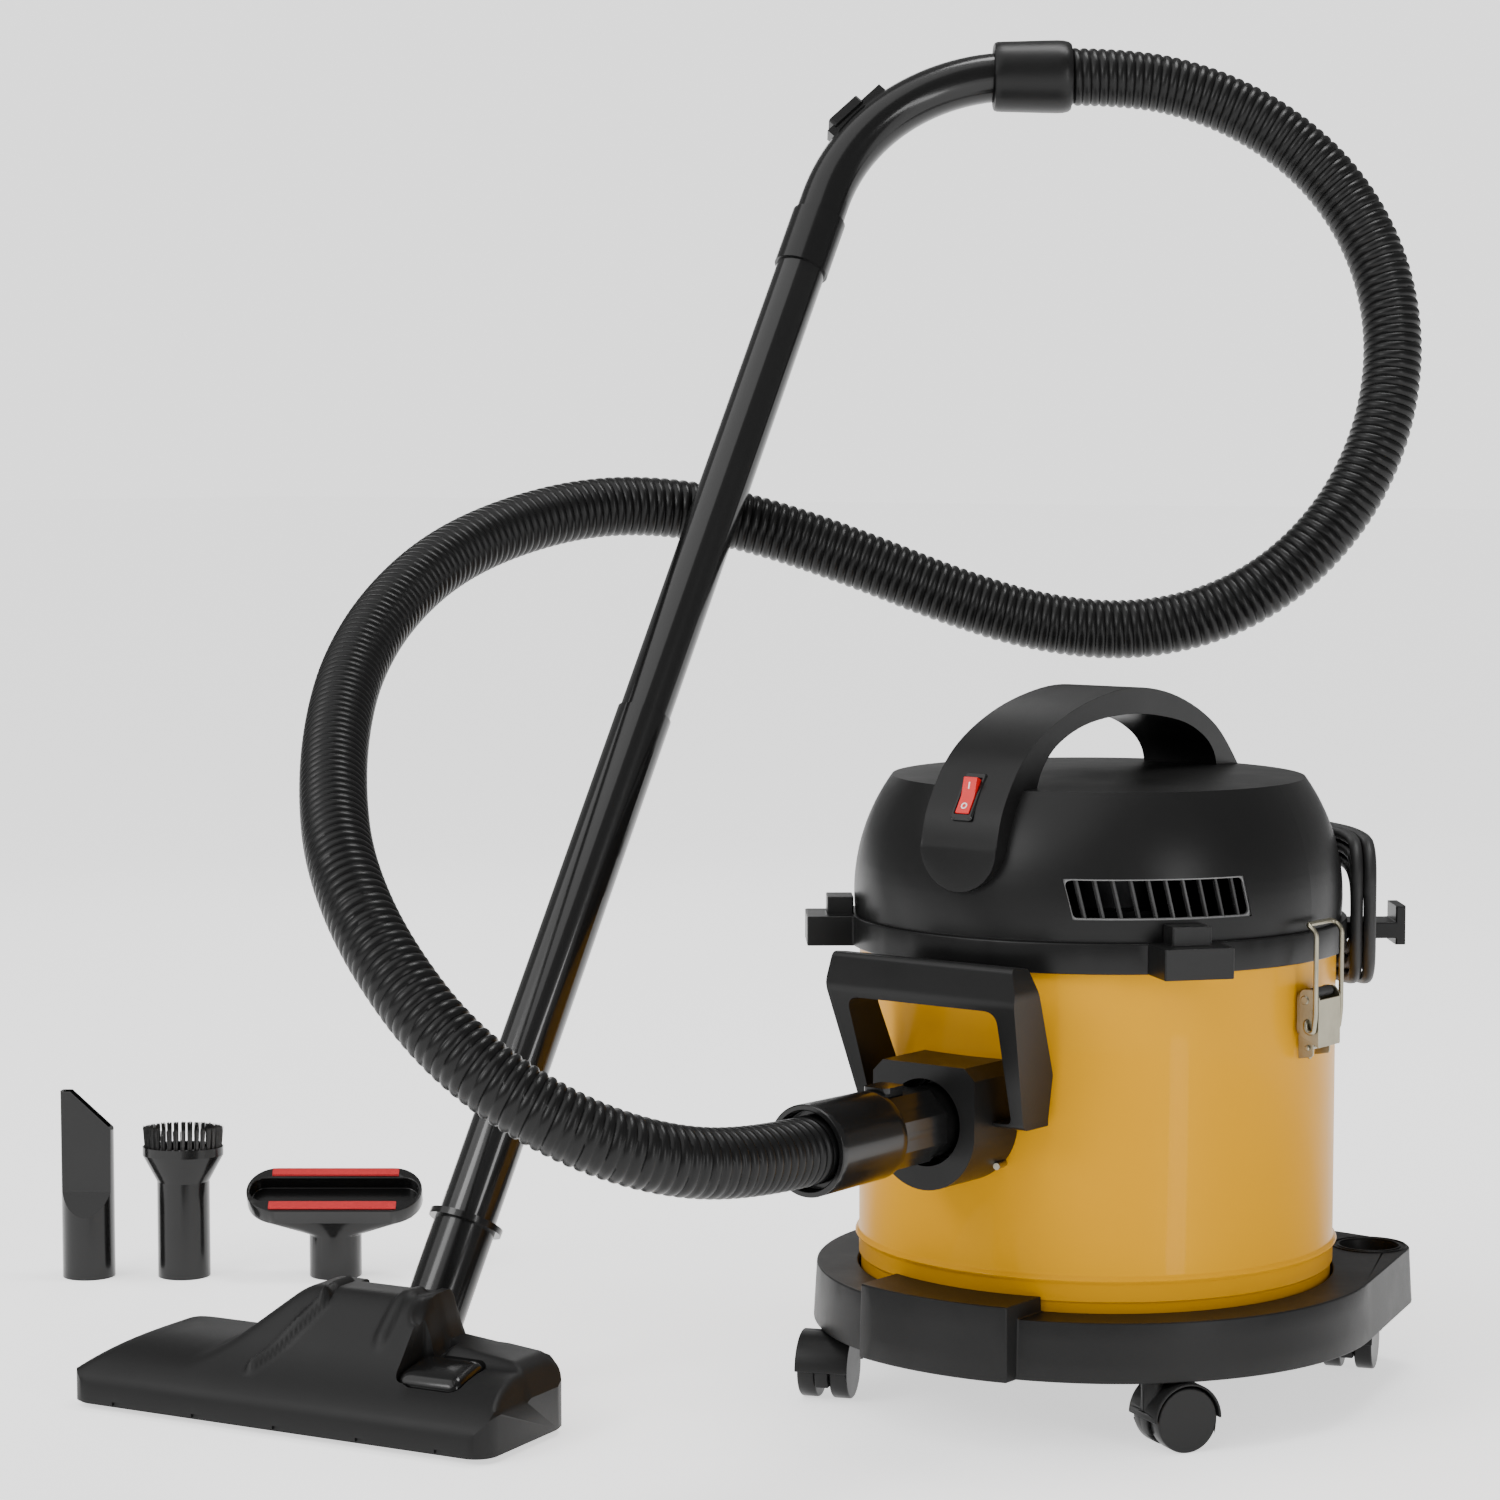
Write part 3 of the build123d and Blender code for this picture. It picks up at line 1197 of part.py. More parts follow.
def blade_side(inset):
    """Side outline of the crevice tool, round below and two flats above."""
    with BuildSketch(Plane(origin=(crevice_spot[0], crevice_spot[1], 0), x_dir=hose_dir.cross(Vector(0, 0, -1)),
                           z_dir=hose_dir)) as side:
        with BuildLine():
            Polyline((-30, -1), (30, -1), (30, blade_from - 4), (tool_r - inset, blade_from - 2))
            Line((tool_r - inset, blade_from - 2), (blade_half - inset, blade_from + 14))
            Line((blade_half - inset, blade_from + 14), (blade_half - 1 - inset, crevice_h + 2))
            Line((blade_half - 1 - inset, crevice_h + 2), (1 + inset - blade_half, crevice_h + 2))
            Line((1 + inset - blade_half, crevice_h + 2), (inset - blade_half, blade_from + 14))
            Line((inset - blade_half, blade_from + 14), (inset - tool_r, blade_from - 2))
            Polyline((inset - tool_r, blade_from - 2), (-30, blade_from - 4), (-30, -1))
        make_face()
    return side


with BuildPart() as crevice_bore:
    with BuildSketch(tool_floor(crevice_spot).offset(-1)):
        Circle(tool_bore)
    extrude(amount=crevice_socket + 1)
    with BuildSketch(tool_floor(crevice_spot).offset(crevice_socket)):
        Circle(tool_bore - stop_step)
    extrude(amount=crevice_h)
    extrude(blade_side(tool_wall).sketch, amount=40, both=True, mode=Mode.INTERSECT)

with BuildPart() as crevice_tool:
    with BuildSketch(tool_floor(crevice_spot)):
        Circle(tool_r)
    extrude(amount=crevice_h)
    extrude(blade_side(0).sketch, amount=40, both=True, mode=Mode.INTERSECT)
    add(crevice_bore.part, mode=Mode.SUBTRACT)
    # slanted mouth
    with BuildSketch(Plane(origin=(crevice_spot[0], crevice_spot[1], 0), x_dir=hose_dir,
                           z_dir=hose_dir.cross(Vector(0, 0, 1)))):
        with BuildLine():
            Polyline((-14, crevice_h + 3), (19, crevice_h - 28), (24, crevice_h - 28), (24, crevice_h + 3),
                     (-14, crevice_h + 3))
        make_face()
    extrude(amount=40, both=True, mode=Mode.SUBTRACT)
keep(crevice_tool, "crevice_tool")

brush_tube_h = 67.0
head_top = 91.0
head_rx = 28.0
head_ry = 20.0
bristle_len = 14.0
with BuildPart() as dusting_brush:
    with BuildSketch(tool_floor(brush_spot)):
        Circle(tool_r)
    extrude(amount=brush_tube_h)
    with BuildSketch(tool_floor(brush_spot).offset(brush_tube_h)):
        Circle(tool_r)
    with BuildSketch(tool_floor(brush_spot).offset(head_top - 6)):
        Ellipse(head_rx, head_ry)
    loft()
    with BuildSketch(tool_floor(brush_spot).offset(head_top - 6)):
        Ellipse(head_rx, head_ry)
    extrude(amount=6)
    with BuildSketch(tool_floor(brush_spot)):
        Circle(tool_bore)
    extrude(amount=head_top, mode=Mode.SUBTRACT)
keep(dusting_brush, "dusting_brush")

with BuildPart() as brush_bristles:
    with BuildSketch(tool_floor(brush_spot).offset(head_top)):
        Ellipse(head_rx - 1.5, head_ry - 0.5)
        Ellipse(head_rx - 6.5, head_ry - 3.2, mode=Mode.SUBTRACT)
    extrude(amount=bristle_len)
keep(brush_bristles, "brush_bristles")

tool_tilt = 35.0
mouth_l = 122.0
mouth_d = 42.0
mouth_h = 12.0
mouth_up = 52.0
facing_dir = hose_dir.cross(Vector(0, 0, 1)) * sin(radians(tool_tilt)) + Vector(0, 0, cos(radians(tool_tilt)))
mouth_plane = Plane(origin=(upholstery_spot[0], upholstery_spot[1], mouth_up), x_dir=hose_dir, z_dir=facing_dir)
with BuildPart() as upholstery_tool:
    with BuildSketch(tool_floor(upholstery_spot)):
        Circle(tool_r)
    extrude(amount=30)
    with BuildSketch(tool_floor(upholstery_spot).offset(30)):
        Circle(tool_r)
    with BuildSketch(mouth_plane):
        SlotOverall(mouth_l, mouth_d)
    loft()
    with BuildSketch(mouth_plane):
        SlotOverall(mouth_l, mouth_d)
    extrude(amount=mouth_h)
    with BuildSketch(mouth_plane.offset(2)):
        SlotOverall(mouth_l - 5, mouth_d - 20)
    extrude(amount=mouth_h, mode=Mode.SUBTRACT)
    with BuildSketch(tool_floor(upholstery_spot)):
        Circle(tool_bore - 5)
    extrude(amount=mouth_up, mode=Mode.SUBTRACT)
    with BuildSketch(tool_floor(upholstery_spot)):
        Circle(tool_bore)
    extrude(amount=30, mode=Mode.SUBTRACT)
keep(upholstery_tool, "upholstery_tool")

strip_l = 88.0
strip_w = 6.0
with BuildPart() as lint_strips:
    for shift in (-1, 1):
        with BuildSketch(mouth_plane.offset(mouth_h)):
            with Locations((0, shift * (mouth_d / 2 - 5.2))):
                Rectangle(strip_l, strip_w)
        extrude(amount=1.6)
keep(lint_strips, "lint_strips")
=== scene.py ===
import math
import random

import bmesh
import bpy
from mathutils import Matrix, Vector


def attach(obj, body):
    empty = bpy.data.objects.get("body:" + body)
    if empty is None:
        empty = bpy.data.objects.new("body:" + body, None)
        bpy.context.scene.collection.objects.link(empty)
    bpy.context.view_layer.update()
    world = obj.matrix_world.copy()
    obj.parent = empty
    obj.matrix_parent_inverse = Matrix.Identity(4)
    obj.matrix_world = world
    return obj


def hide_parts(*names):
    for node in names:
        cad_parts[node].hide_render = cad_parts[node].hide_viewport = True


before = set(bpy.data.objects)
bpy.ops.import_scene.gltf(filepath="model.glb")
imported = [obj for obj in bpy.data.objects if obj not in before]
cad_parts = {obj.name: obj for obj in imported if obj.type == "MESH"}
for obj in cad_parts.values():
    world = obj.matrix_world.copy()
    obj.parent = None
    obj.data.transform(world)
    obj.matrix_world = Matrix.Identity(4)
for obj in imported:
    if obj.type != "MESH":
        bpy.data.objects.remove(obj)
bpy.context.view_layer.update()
scene = bpy.context.scene
mm = 0.001
print("frame loaded:", len(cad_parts), "CAD nodes")


# camera, floor and light
camera = {"place": (1.2318, -1.9540, 0.5756), "tilt": 85.417, "turn": 37.5, "lens": 90.8}
cameraData = bpy.data.cameras.new("camera")
cameraData.lens = camera["lens"]
cameraData.sensor_width = 36
cameraData.clip_end = 50
cameraObject = bpy.data.objects.new("camera", cameraData)
cameraObject.location = camera["place"]
cameraObject.rotation_euler = (math.radians(camera["tilt"]), 0, math.radians(camera["turn"]))
scene.collection.objects.link(cameraObject)
scene.camera = cameraObject

studio = {
    "fill": 0.30, "behind": 1.85,   # what lights the object, and what shows behind it
    "sky": (1.9, (-0.35, -0.75, 1.0), 75),   # strength, where it stands, how wide in degrees
    "lamps": [  # name, place, aim, size, power
        ("keyLamp", (-0.9, -2.7, 1.9), (0, 0, 0.3), (1.1, 0.9), 26),
        ("sideLamp", (2.9, -1.0, 0.9), (0, 0, 0.25), (0.5, 1.6), 24),
        ("topLamp", (0.0, 0.5, 2.5), (0, 0, 0.2), (1.1, 0.6), 24),
        ("backLamp", (-2.0, 1.7, 1.4), (0, 0, 0.4), (0.9, 1.2), 6),
    ],
}
world = bpy.data.worlds.new("studio")
scene.world = world
world.use_nodes = True
worldNodes = world.node_tree.nodes
rays = worldNodes.new("ShaderNodeLightPath")
levels = worldNodes.new("ShaderNodeMapRange")
levels.inputs["To Min"].default_value = studio["fill"]
levels.inputs["To Max"].default_value = studio["behind"]
world.node_tree.links.new(rays.outputs["Is Camera Ray"], levels.inputs["Value"])
world.node_tree.links.new(levels.outputs["Result"], worldNodes["Background"].inputs["Strength"])
worldNodes["Background"].inputs["Color"].default_value = (1, 1, 1, 1)
skyData = bpy.data.lights.new("skyLamp", "SUN")
skyData.energy, skyPlace, skyWidth = studio["sky"]
skyData.angle = math.radians(skyWidth)
sky = bpy.data.objects.new("skyLamp", skyData)
sky.location = skyPlace
sky.rotation_euler = (-Vector(skyPlace)).to_track_quat("-Z", "Y").to_euler()
scene.collection.objects.link(sky)
for name, place, aim, size, power in studio["lamps"]:
    lampData = bpy.data.lights.new(name, "AREA")
    lampData.shape = "RECTANGLE"
    lampData.size, lampData.size_y = size
    lampData.energy = power
    lamp = bpy.data.objects.new(name, lampData)
    lamp.location = place
    lamp.rotation_euler = (Vector(aim) - Vector(place)).to_track_quat("-Z", "Y").to_euler()
    scene.collection.objects.link(lamp)


# finishes
class Wire:
    # an output socket; sums on it add Math nodes to its finish
    def __init__(self, finish, socket):
        self.finish = finish
        self.socket = socket

    def sum(self, operation, first, second):
        return self.finish.node("ShaderNodeMath", {"operation": operation}, {0: first, 1: second})

    def __add__(self, other):
        return self.sum("ADD", self, other)

    def __radd__(self, other):
        return self.sum("ADD", other, self)

    def __sub__(self, other):
        return self.sum("SUBTRACT", self, other)

    def __rsub__(self, other):
        return self.sum("SUBTRACT", other, self)

    def __mul__(self, other):
        return self.sum("MULTIPLY", self, other)

    def __rmul__(self, other):
        return self.sum("MULTIPLY", other, self)


class Finish:
    # one material; give it fixed values for the shader by their socket names
    def __init__(self, name, values):
        self.material = bpy.data.materials.new(name)
        self.material.use_nodes = True
        self.nodes = self.material.node_tree.nodes
        self.links = self.material.node_tree.links
        self.shader = self.nodes["Principled BSDF"]
        for socket, value in values.items():
            self.shader.inputs[socket].default_value = value
        self.place = self.node("ShaderNodeTexCoord", output=3)

    def node(self, kind, settings=None, sockets=None, output=0):
        made = self.nodes.new(kind)
        for setting, value in (settings or {}).items():
            if setting == "stops":
                for index, (position, colour) in enumerate(value):
                    if index > 1:
                        made.color_ramp.elements.new(position)
                    made.color_ramp.elements[index].position = position
                    made.color_ramp.elements[index].color = colour
            else:
                setattr(made, setting, value)
        for socket, value in (sockets or {}).items():
            if isinstance(value, Wire):
                self.links.new(value.socket, made.inputs[socket])
            else:
                made.inputs[socket].default_value = value
        return Wire(self, made.outputs[output])

    def noise(self, scale, detail=3.0, rough=0.5, place=None):
        return self.node("ShaderNodeTexNoise", {"noise_dimensions": "3D"},
                         {"Vector": place or self.place, "Scale": scale, "Detail": detail,
                          "Roughness": rough})

    def cells(self, scale):
        return self.node("ShaderNodeTexVoronoi", {}, {"Vector": self.place, "Scale": scale})

    def band(self, wire, low, high):
        # 0 below low, 1 above high
        return self.node("ShaderNodeMapRange", {"interpolation_type": "SMOOTHSTEP"},
                         {"Value": wire, "From Min": low, "From Max": high})

    def mix(self, factor, first, second):
        return self.node("ShaderNodeMix", {"data_type": "RGBA"}, {0: factor, 6: first, 7: second}, output=2)

    def set(self, socket, wire):
        self.links.new(wire.socket, self.shader.inputs[socket])

    def bump(self, height, strength, distance):
        self.set("Normal", self.node("ShaderNodeBump", {},
                                     {"Height": height, "Strength": strength, "Distance": distance}))


def grey(level, warm=0.0):
    return (level * (1 + warm), level, level * (1 - warm), 1)


def mouldedPlastic(name, tone, rough, grain, coat=0.0, spread=0.35):
    # moulded black plastic: faint flow marks, fine spark-eroded grain, rubbed patches
    made = Finish(name, {"Specular IOR Level": 0.22, "Coat Weight": coat, "Coat Roughness": 0.12})
    flow = made.noise(9, 4, 0.55)
    fine = made.noise(1500, 2, 0.6)
    rub = made.band(made.noise(26, 5, 0.6), 0.42, 0.7)
    lighter = tuple(min(1, c * (1 + spread)) for c in tone[:3]) + (1,)
    made.set("Base Color", made.mix(flow, tone, lighter))
    made.set("Roughness", rough + (flow - 0.5) * 0.10 + (fine - 0.5) * 0.10 - rub * 0.04)
    made.bump(fine + made.noise(420, 3, 0.5) * 0.5, grain, 0.0003)
    return made


def enamel(name, tone, deep, rough, coat, peel):
    # stoved enamel on sheet metal: orange peel, slight shade drift, tiny dust nibs
    made = Finish(name, {"Specular IOR Level": 0.22, "Coat Weight": coat, "Coat Roughness": 0.06,
                         "Coat IOR": 1.5})
    drift = made.noise(5, 3, 0.5)
    nibs = made.band(made.cells(260), 0.0, 0.045)
    made.set("Base Color", made.mix(drift, deep, tone))
    made.set("Roughness", rough + (made.noise(38, 4, 0.6) - 0.5) * 0.08)
    made.bump(made.noise(230, 2, 0.5) + nibs * 0.12, peel, 0.0004)
    return made


def metal(name, tone, rough, streaks, pitted):
    # plated or drawn metal: long faint streaks, cloudy passivation, small pits
    made = Finish(name, {"Metallic": 1.0})
    along = made.node("ShaderNodeMapping", {}, {"Vector": made.place, "Scale": (60, 60, 4)})
    streak = made.noise(26, 4, 0.6, along)
    cloud = made.noise(34, 4, 0.6)
    pits = made.band(made.cells(700), 0.02, 0.12)
    dark = tuple(c * 0.72 for c in tone[:3]) + (1,)
    made.set("Base Color", made.mix(made.band(cloud, 0.3, 0.7), dark, tone))
    made.set("Roughness", rough + (streak - 0.5) * 0.22 + (cloud - 0.5) * 0.12)
    made.bump(streak * streaks + pits * pitted, 0.3, 0.0002)
    return made


def rubber(name, tone, rough, grain):
    made = Finish(name, {"Specular IOR Level": 0.35})
    bloom = made.band(made.noise(40, 5, 0.65), 0.4, 0.8)
    dusty = tuple(min(1, c * 1.9 + 0.004) for c in tone[:3]) + (1,)
    made.set("Base Color", made.mix(bloom, tone, dusty))
    made.set("Roughness", rough + bloom * 0.10)
    made.bump(made.noise(900, 3, 0.6), grain, 0.0003)
    return made


def pleatedPaper(name):
    # pleated filter paper: fibres
    made = Finish(name, {"Roughness": 0.95})
    fibre = made.noise(520, 6, 0.7)
    made.set("Base Color", made.mix(fibre, (0.62, 0.58, 0.5, 1), (0.86, 0.83, 0.76, 1)))
    made.bump(fibre, 0.4, 0.0005)
    return made


def fibres(name, dark, light, rough, scale):
    # bristles and pile: tone changes from hair to hair
    made = Finish(name, {"Roughness": rough, "Sheen Weight": 0.15})
    hair = made.noise(scale, 2, 0.5)
    made.set("Base Color", made.mix(made.band(hair, 0.35, 0.65), dark, light))
    made.bump(hair, 0.5, 0.0004)
    return made


satinBlack = mouldedPlastic("satinBlack", grey(0.006), 0.36, 0.09)
baseBlack = mouldedPlastic("baseBlack", grey(0.007), 0.46, 0.16)
glossBlack = mouldedPlastic("glossBlack", grey(0.005), 0.24, 0.03, coat=0.25, spread=0.2)
# grille slats: dark grey, lighter than the black plastic, as a painted highlight along their edges
grilleSlatsPaintedHighlight = mouldedPlastic("grilleSlatsPaintedHighlight", grey(0.045), 0.30, 0.04)
# grille borders: light grey, as a painted highlight along their rounded edge
grilleBorderPaintedHighlight = mouldedPlastic("grilleBorderPaintedHighlight", grey(0.16), 0.34, 0.04)
nozzleBlack = mouldedPlastic("nozzleBlack", grey(0.006), 0.48, 0.13)
hosePlastic = mouldedPlastic("hosePlastic", grey(0.005), 0.34, 0.05, spread=0.25)
wheelPlastic = mouldedPlastic("wheelPlastic", grey(0.007), 0.36, 0.08)
yellowPaint = enamel("yellowPaint", (0.70, 0.325, 0.0, 1), (0.66, 0.300, 0.0, 1), 0.34, 0.06, 0.04)
yellowPaint.shader.inputs["Specular Tint"].default_value = (1.0, 0.62, 0.12, 1)
blackPaint = enamel("blackPaint", grey(0.007), grey(0.005), 0.24, 0.5, 0.03)
zincSteel = metal("zincSteel", (0.34, 0.315, 0.235, 1), 0.34, 0.25, 0.3)
# motor steel: very dark, darker than bare steel, as painted shade inside the head behind the grille slats
motorSteelPaintedShade = metal("motorSteelPaintedShade", (0.05, 0.05, 0.052, 1), 0.50, 0.4, 0.2)
fanAluminium = metal("fanAluminium", (0.80, 0.81, 0.82, 1), 0.32, 0.3, 0.1)
switchRed = mouldedPlastic("switchRed", (0.62, 0.012, 0.012, 1), 0.26, 0.02, coat=0.4, spread=0.1)
floatPlastic = mouldedPlastic("floatPlastic", grey(0.72, 0.02), 0.38, 0.05, spread=0.06)
cordRubber = rubber("cordRubber", grey(0.013), 0.50, 0.12)
sealRubber = rubber("sealRubber", grey(0.02), 0.62, 0.15)
filterPaper = pleatedPaper("filterPaper")
bristleHair = fibres("bristleHair", grey(0.008), grey(0.045), 0.5, 2200)
lintRed = fibres("lintRed", (0.36, 0.004, 0.006, 1), (0.72, 0.012, 0.02, 1), 0.8, 2600)
markWhite = mouldedPlastic("markWhite", grey(0.8), 0.4, 0.03, spread=0.05)

# the CAD nodes that stay, by finish
corners = ("front_right", "front_left", "rear_right", "rear_left")
nodeFinish = {
    satinBlack: ["head_cover", "head_rim", "fan_case", "float_cage", "cord_gland", "air_slide"],
    baseBlack: ["base_ring", "inlet_deflector", *["caster_hood_" + corner for corner in corners]],
    glossBlack: ["hose_end_body", "hose_end_collar", "hose_end_button", "grip_pipe", "nozzle_neck",
                 "crevice_tool", "dusting_brush", "upholstery_tool"],
    nozzleBlack: ["nozzle_sole"],
    wheelPlastic: ["nozzle_rollers", *["caster_wheels_" + corner for corner in corners]],
    blackPaint: ["wand_upper", "wand_lower"],
    zincSteel: ["latch_rivets", "base_screws", "inlet_screws", "head_screws"],
    motorSteelPaintedShade: ["motor_stator", "rotor_shaft"],
    fanAluminium: ["impeller"],
    floatPlastic: ["float_cup"],
    cordRubber: ["plug"],
    sealRubber: ["head_seal"],
    filterPaper: ["cartridge_filter"],
    bristleHair: ["nozzle_brush"],
    lintRed: ["lint_strips"],
}
for finish, names in nodeFinish.items():
    for name in names:
        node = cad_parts[name]
        node.data.materials.clear()
        node.data.materials.append(finish.material)


def roundEdges(piece, width, segments, angle, clamp=True):
    # width in millimetres; edges sharper than angle are rounded
    rounding = piece.modifiers.new("rounding", "BEVEL")
    rounding.width = width * mm
    rounding.segments = segments
    rounding.limit_method = "ANGLE"
    rounding.angle_limit = math.radians(angle)
    rounding.use_clamp_overlap = clamp
    rounding.harden_normals = True


# edges of the moulded CAD nodes are broken a little, in millimetres
brokenEdges = {"base_ring": 1.0, "head_rim": 1.0, "hose_end_collar": 0.8, "upholstery_tool": 0.8}
brokenEdges.update({"caster_hood_" + corner: 0.7 for corner in corners})
brokenEdges.update({"caster_wheels_" + corner: 1.2 for corner in corners})
for name, width in brokenEdges.items():
    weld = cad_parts[name].modifiers.new("weld", "WELD")
    weld.merge_threshold = 0.00001
    roundEdges(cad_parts[name], width, 3, 30, clamp=False)
print("finishes made:", len(bpy.data.materials))


# making pieces; points are in millimetres
def settle(piece, body, stands=()):
    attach(piece, body)
    if stands:
        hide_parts(*stands)
    return piece


def closedMesh(name, points, faces, merge=2e-6):
    mesh = bpy.data.meshes.new(name)
    mesh.from_pydata([Vector(point) * mm for point in points], [], faces)
    work = bmesh.new()
    work.from_mesh(mesh)
    if merge:
        bmesh.ops.remove_doubles(work, verts=work.verts, dist=merge)
    bmesh.ops.recalc_face_normals(work, faces=work.faces)
    work.to_mesh(mesh)
    work.free()
    return mesh


def meshPiece(name, points, faces, finish, body, stands=(), smooth=35, bevel=0.0, segments=3,
              bevelAngle=28):
    mesh = closedMesh(name, points, faces)
    mesh.materials.append(finish.material)
    piece = bpy.data.objects.new(name, mesh)
    scene.collection.objects.link(piece)
    mesh.shade_smooth()
    if bevel:
        roundEdges(piece, bevel, segments, bevelAngle)
    else:
        mesh.set_sharp_from_angle(angle=math.radians(smooth))
    return settle(piece, body, stands)


def frameOf(origin, along, side=(0, 0, 1)):
    # a local frame as origin, x, y and z; z points along
    z = Vector(along).normalized()
    x = Vector(side)
    x = (x - z * x.dot(z)).normalized()
    return Vector(origin), x, z.cross(x), z


upright = (Vector((0, 0, 0)), Vector((1, 0, 0)), Vector((0, 1, 0)), Vector((0, 0, 1)))


def put(place, x, y, z):
    return place[0] + place[1] * x + place[2] * y + place[3] * z


def ringFaces(rows, columns, closedAlong=False):
    faces = []
    for row in range(rows if closedAlong else rows - 1):
        nextRow = (row + 1) % rows
        for column in range(columns):
            nextColumn = (column + 1) % columns
            faces.append((row * columns + column, row * columns + nextColumn,
                          nextRow * columns + nextColumn, nextRow * columns + column))
    return faces


def lathe(profile, place=upright, steps=128, closed=False):
    # turns (radius, height) round the frame's z axis
    points = []
    for radius, height in profile:
        for step in range(steps):
            angle = math.radians(360.0 * step / steps)
            points.append(put(place, radius * math.cos(angle), radius * math.sin(angle), height))
    return points, ringFaces(len(profile), steps, closedAlong=closed)


def loft(rings):
    # joins rings of equal counts and caps both ends
    count = len(rings[0])
    points = [point for ring in rings for point in ring]
    faces = ringFaces(len(rings), count)
    faces.append(tuple(reversed(range(count))))
    faces.append(tuple(range((len(rings) - 1) * count, len(rings) * count)))
    return points, faces


def prism(outline, low, high, place=upright):
    return loft([[put(place, x, y, low) for x, y in outline], [put(place, x, y, high) for x, y in outline]])


def hoop(rings):
    # joins rings of equal counts, the last to the first
    return [point for ring in rings for point in ring], ringFaces(len(rings), len(rings[0]), closedAlong=True)


def joined(*parts):
    points, faces = [], []
    for morePoints, moreFaces in parts:
        faces += [tuple(index + len(points) for index in face) for face in moreFaces]
        points += list(morePoints)
    return points, faces


def roundRect(width, height, radius, steps=6, centre=(0, 0)):
    outline = []
    for quarter, (sx, sy) in enumerate([(1, 1), (-1, 1), (-1, -1), (1, -1)]):
        for step in range(steps + 1):
            angle = math.radians(90 * quarter + 90 * step / steps)
            outline.append((centre[0] + sx * (width / 2 - radius) + radius * math.cos(angle),
                            centre[1] + sy * (height / 2 - radius) + radius * math.sin(angle)))
    return outline


def splineCurve(name, points, bevel=0.0):
    # an open NURBS line with these control points, in millimetres
    curve = bpy.data.curves.new(name, "CURVE")
    curve.dimensions = "3D"
    spline = curve.splines.new("NURBS")
    spline.points.add(len(points) - 1)
    for point, place in zip(spline.points, points):
        point.co = tuple(value * mm for value in place) + (1,)
    spline.order_u = 3
    spline.use_endpoint_u = True
    spline.resolution_u = 16
    curve.resolution_u = 16
    curve.bevel_depth = bevel * mm
    curve.bevel_resolution = 6
    curve.use_fill_caps = True
    return bpy.data.objects.new(name, curve)


def curvePoints(points):
    # the points that the NURBS line itself passes through, in metres
    guide = splineCurve("guide", points)
    scene.collection.objects.link(guide)
    bpy.context.view_layer.update()
    line = bpy.data.meshes.new_from_object(guide)
    found = [vertex.co.copy() for vertex in line.vertices]
    bpy.data.objects.remove(guide)
    bpy.data.meshes.remove(line)
    return found


def evenly(points, step):
    # walks a line of points in equal steps
    walked, left = [points[0].copy()], step
    for first, second in zip(points, points[1:]):
        run = (second - first).length
        gone = 0.0
        while run - gone >= left > 0:
            gone += left
            walked.append(first.lerp(second, gone / run))
            left = step
        left -= run - gone
    return walked


def lineLength(points):
    return sum((second - first).length for first, second in zip(points, points[1:]))


def carried(points):
    # a frame at each point, carried along the line without twisting
    frames = []
    side = None
    for index, point in enumerate(points):
        along = (points[min(index + 1, len(points) - 1)] - points[max(index - 1, 0)]).normalized()
        if side is None:
            side = along.orthogonal().normalized()
        side = (side - along * side.dot(along)).normalized()
        frames.append((point, side, along.cross(side), along))
    return frames


# suction hose: a corrugated tube from the grip's cuff to the drum's port
hose = {
    "outer": 19.5, "depth": 1.5, "pitch": 6.0, "rowsPerRib": 6, "columns": 48, "length": 1.88, "body": "tub",
    "ribShape": (0.0, 0.62, 0.93, 1.0, 0.93, 0.62),
    "route": [(-186.9, 241.2, 826.7), (-148.8, 270.4, 826.7), (-106, 299, 815), (-64, 320, 791),
              (-26, 335, 755), (5, 339, 706), (23, 332, 650), (26, 315, 592),
              (14, 290, 538), (-12, 259, 494), (-48, 224, 465), (-93, 187, 453),
              (-141, 150, 459), (-190, 117, 477), (-240, 84, 501), (-290, 50, 522),
              (-334, 9, 536), (-368, -39, 537), (-386, -102, 524), (-388, -166, 504),
              (-374, -231, 475), (-346, -292, 443), (-308, -346, 411), (-264, -396, 378),
              (-216, -440, 344), (-162, -468, 303), (-104, -474, 256), (-52, -450, 219),
              (-16, -407, 197), (0, -349, 188), (0, -290, 188)],
}
hoseLine = curvePoints(hose["route"])
hoseWalk = evenly(hoseLine, hose["pitch"] * mm / hose["rowsPerRib"])
hoseFrames = carried(hoseWalk)
rows = len(hoseFrames) - hose["rowsPerRib"]
columns = hose["columns"]
points = []
for row in range(rows):
    radius = hose["outer"] - hose["depth"] * (1 - hose["ribShape"][row % hose["rowsPerRib"]])
    for column in range(columns):
        # the ribs run as a helix: each column stands a little further along than the last
        ahead = row + hose["rowsPerRib"] * column / columns
        first, part = int(ahead), ahead - int(ahead)
        low, high = hoseFrames[first], hoseFrames[min(first + 1, len(hoseFrames) - 1)]
        centre = low[0].lerp(high[0], part)
        side = low[1].lerp(high[1], part)
        other = low[2].lerp(high[2], part)
        angle = 2 * math.pi * column / columns
        points.append((centre + (side * math.cos(angle) + other * math.sin(angle)) * radius * mm) / mm)
faces = []
for row in range(rows - 1):
    for column in range(columns - 1):
        a = row * columns + column
        faces.append((a, a + 1, a + columns + 1, a + columns))
for row in range(rows - 1 - hose["rowsPerRib"]):
    a = row * columns + columns - 1
    b = (row + hose["rowsPerRib"]) * columns
    faces.append((a, b, b + columns, a + columns))
hosePiece = meshPiece("suctionHose", points, faces, hosePlastic, hose["body"],
                      ["suction_hose"], smooth=80)
print("hose line", round(lineLength(hoseLine), 3), "m")


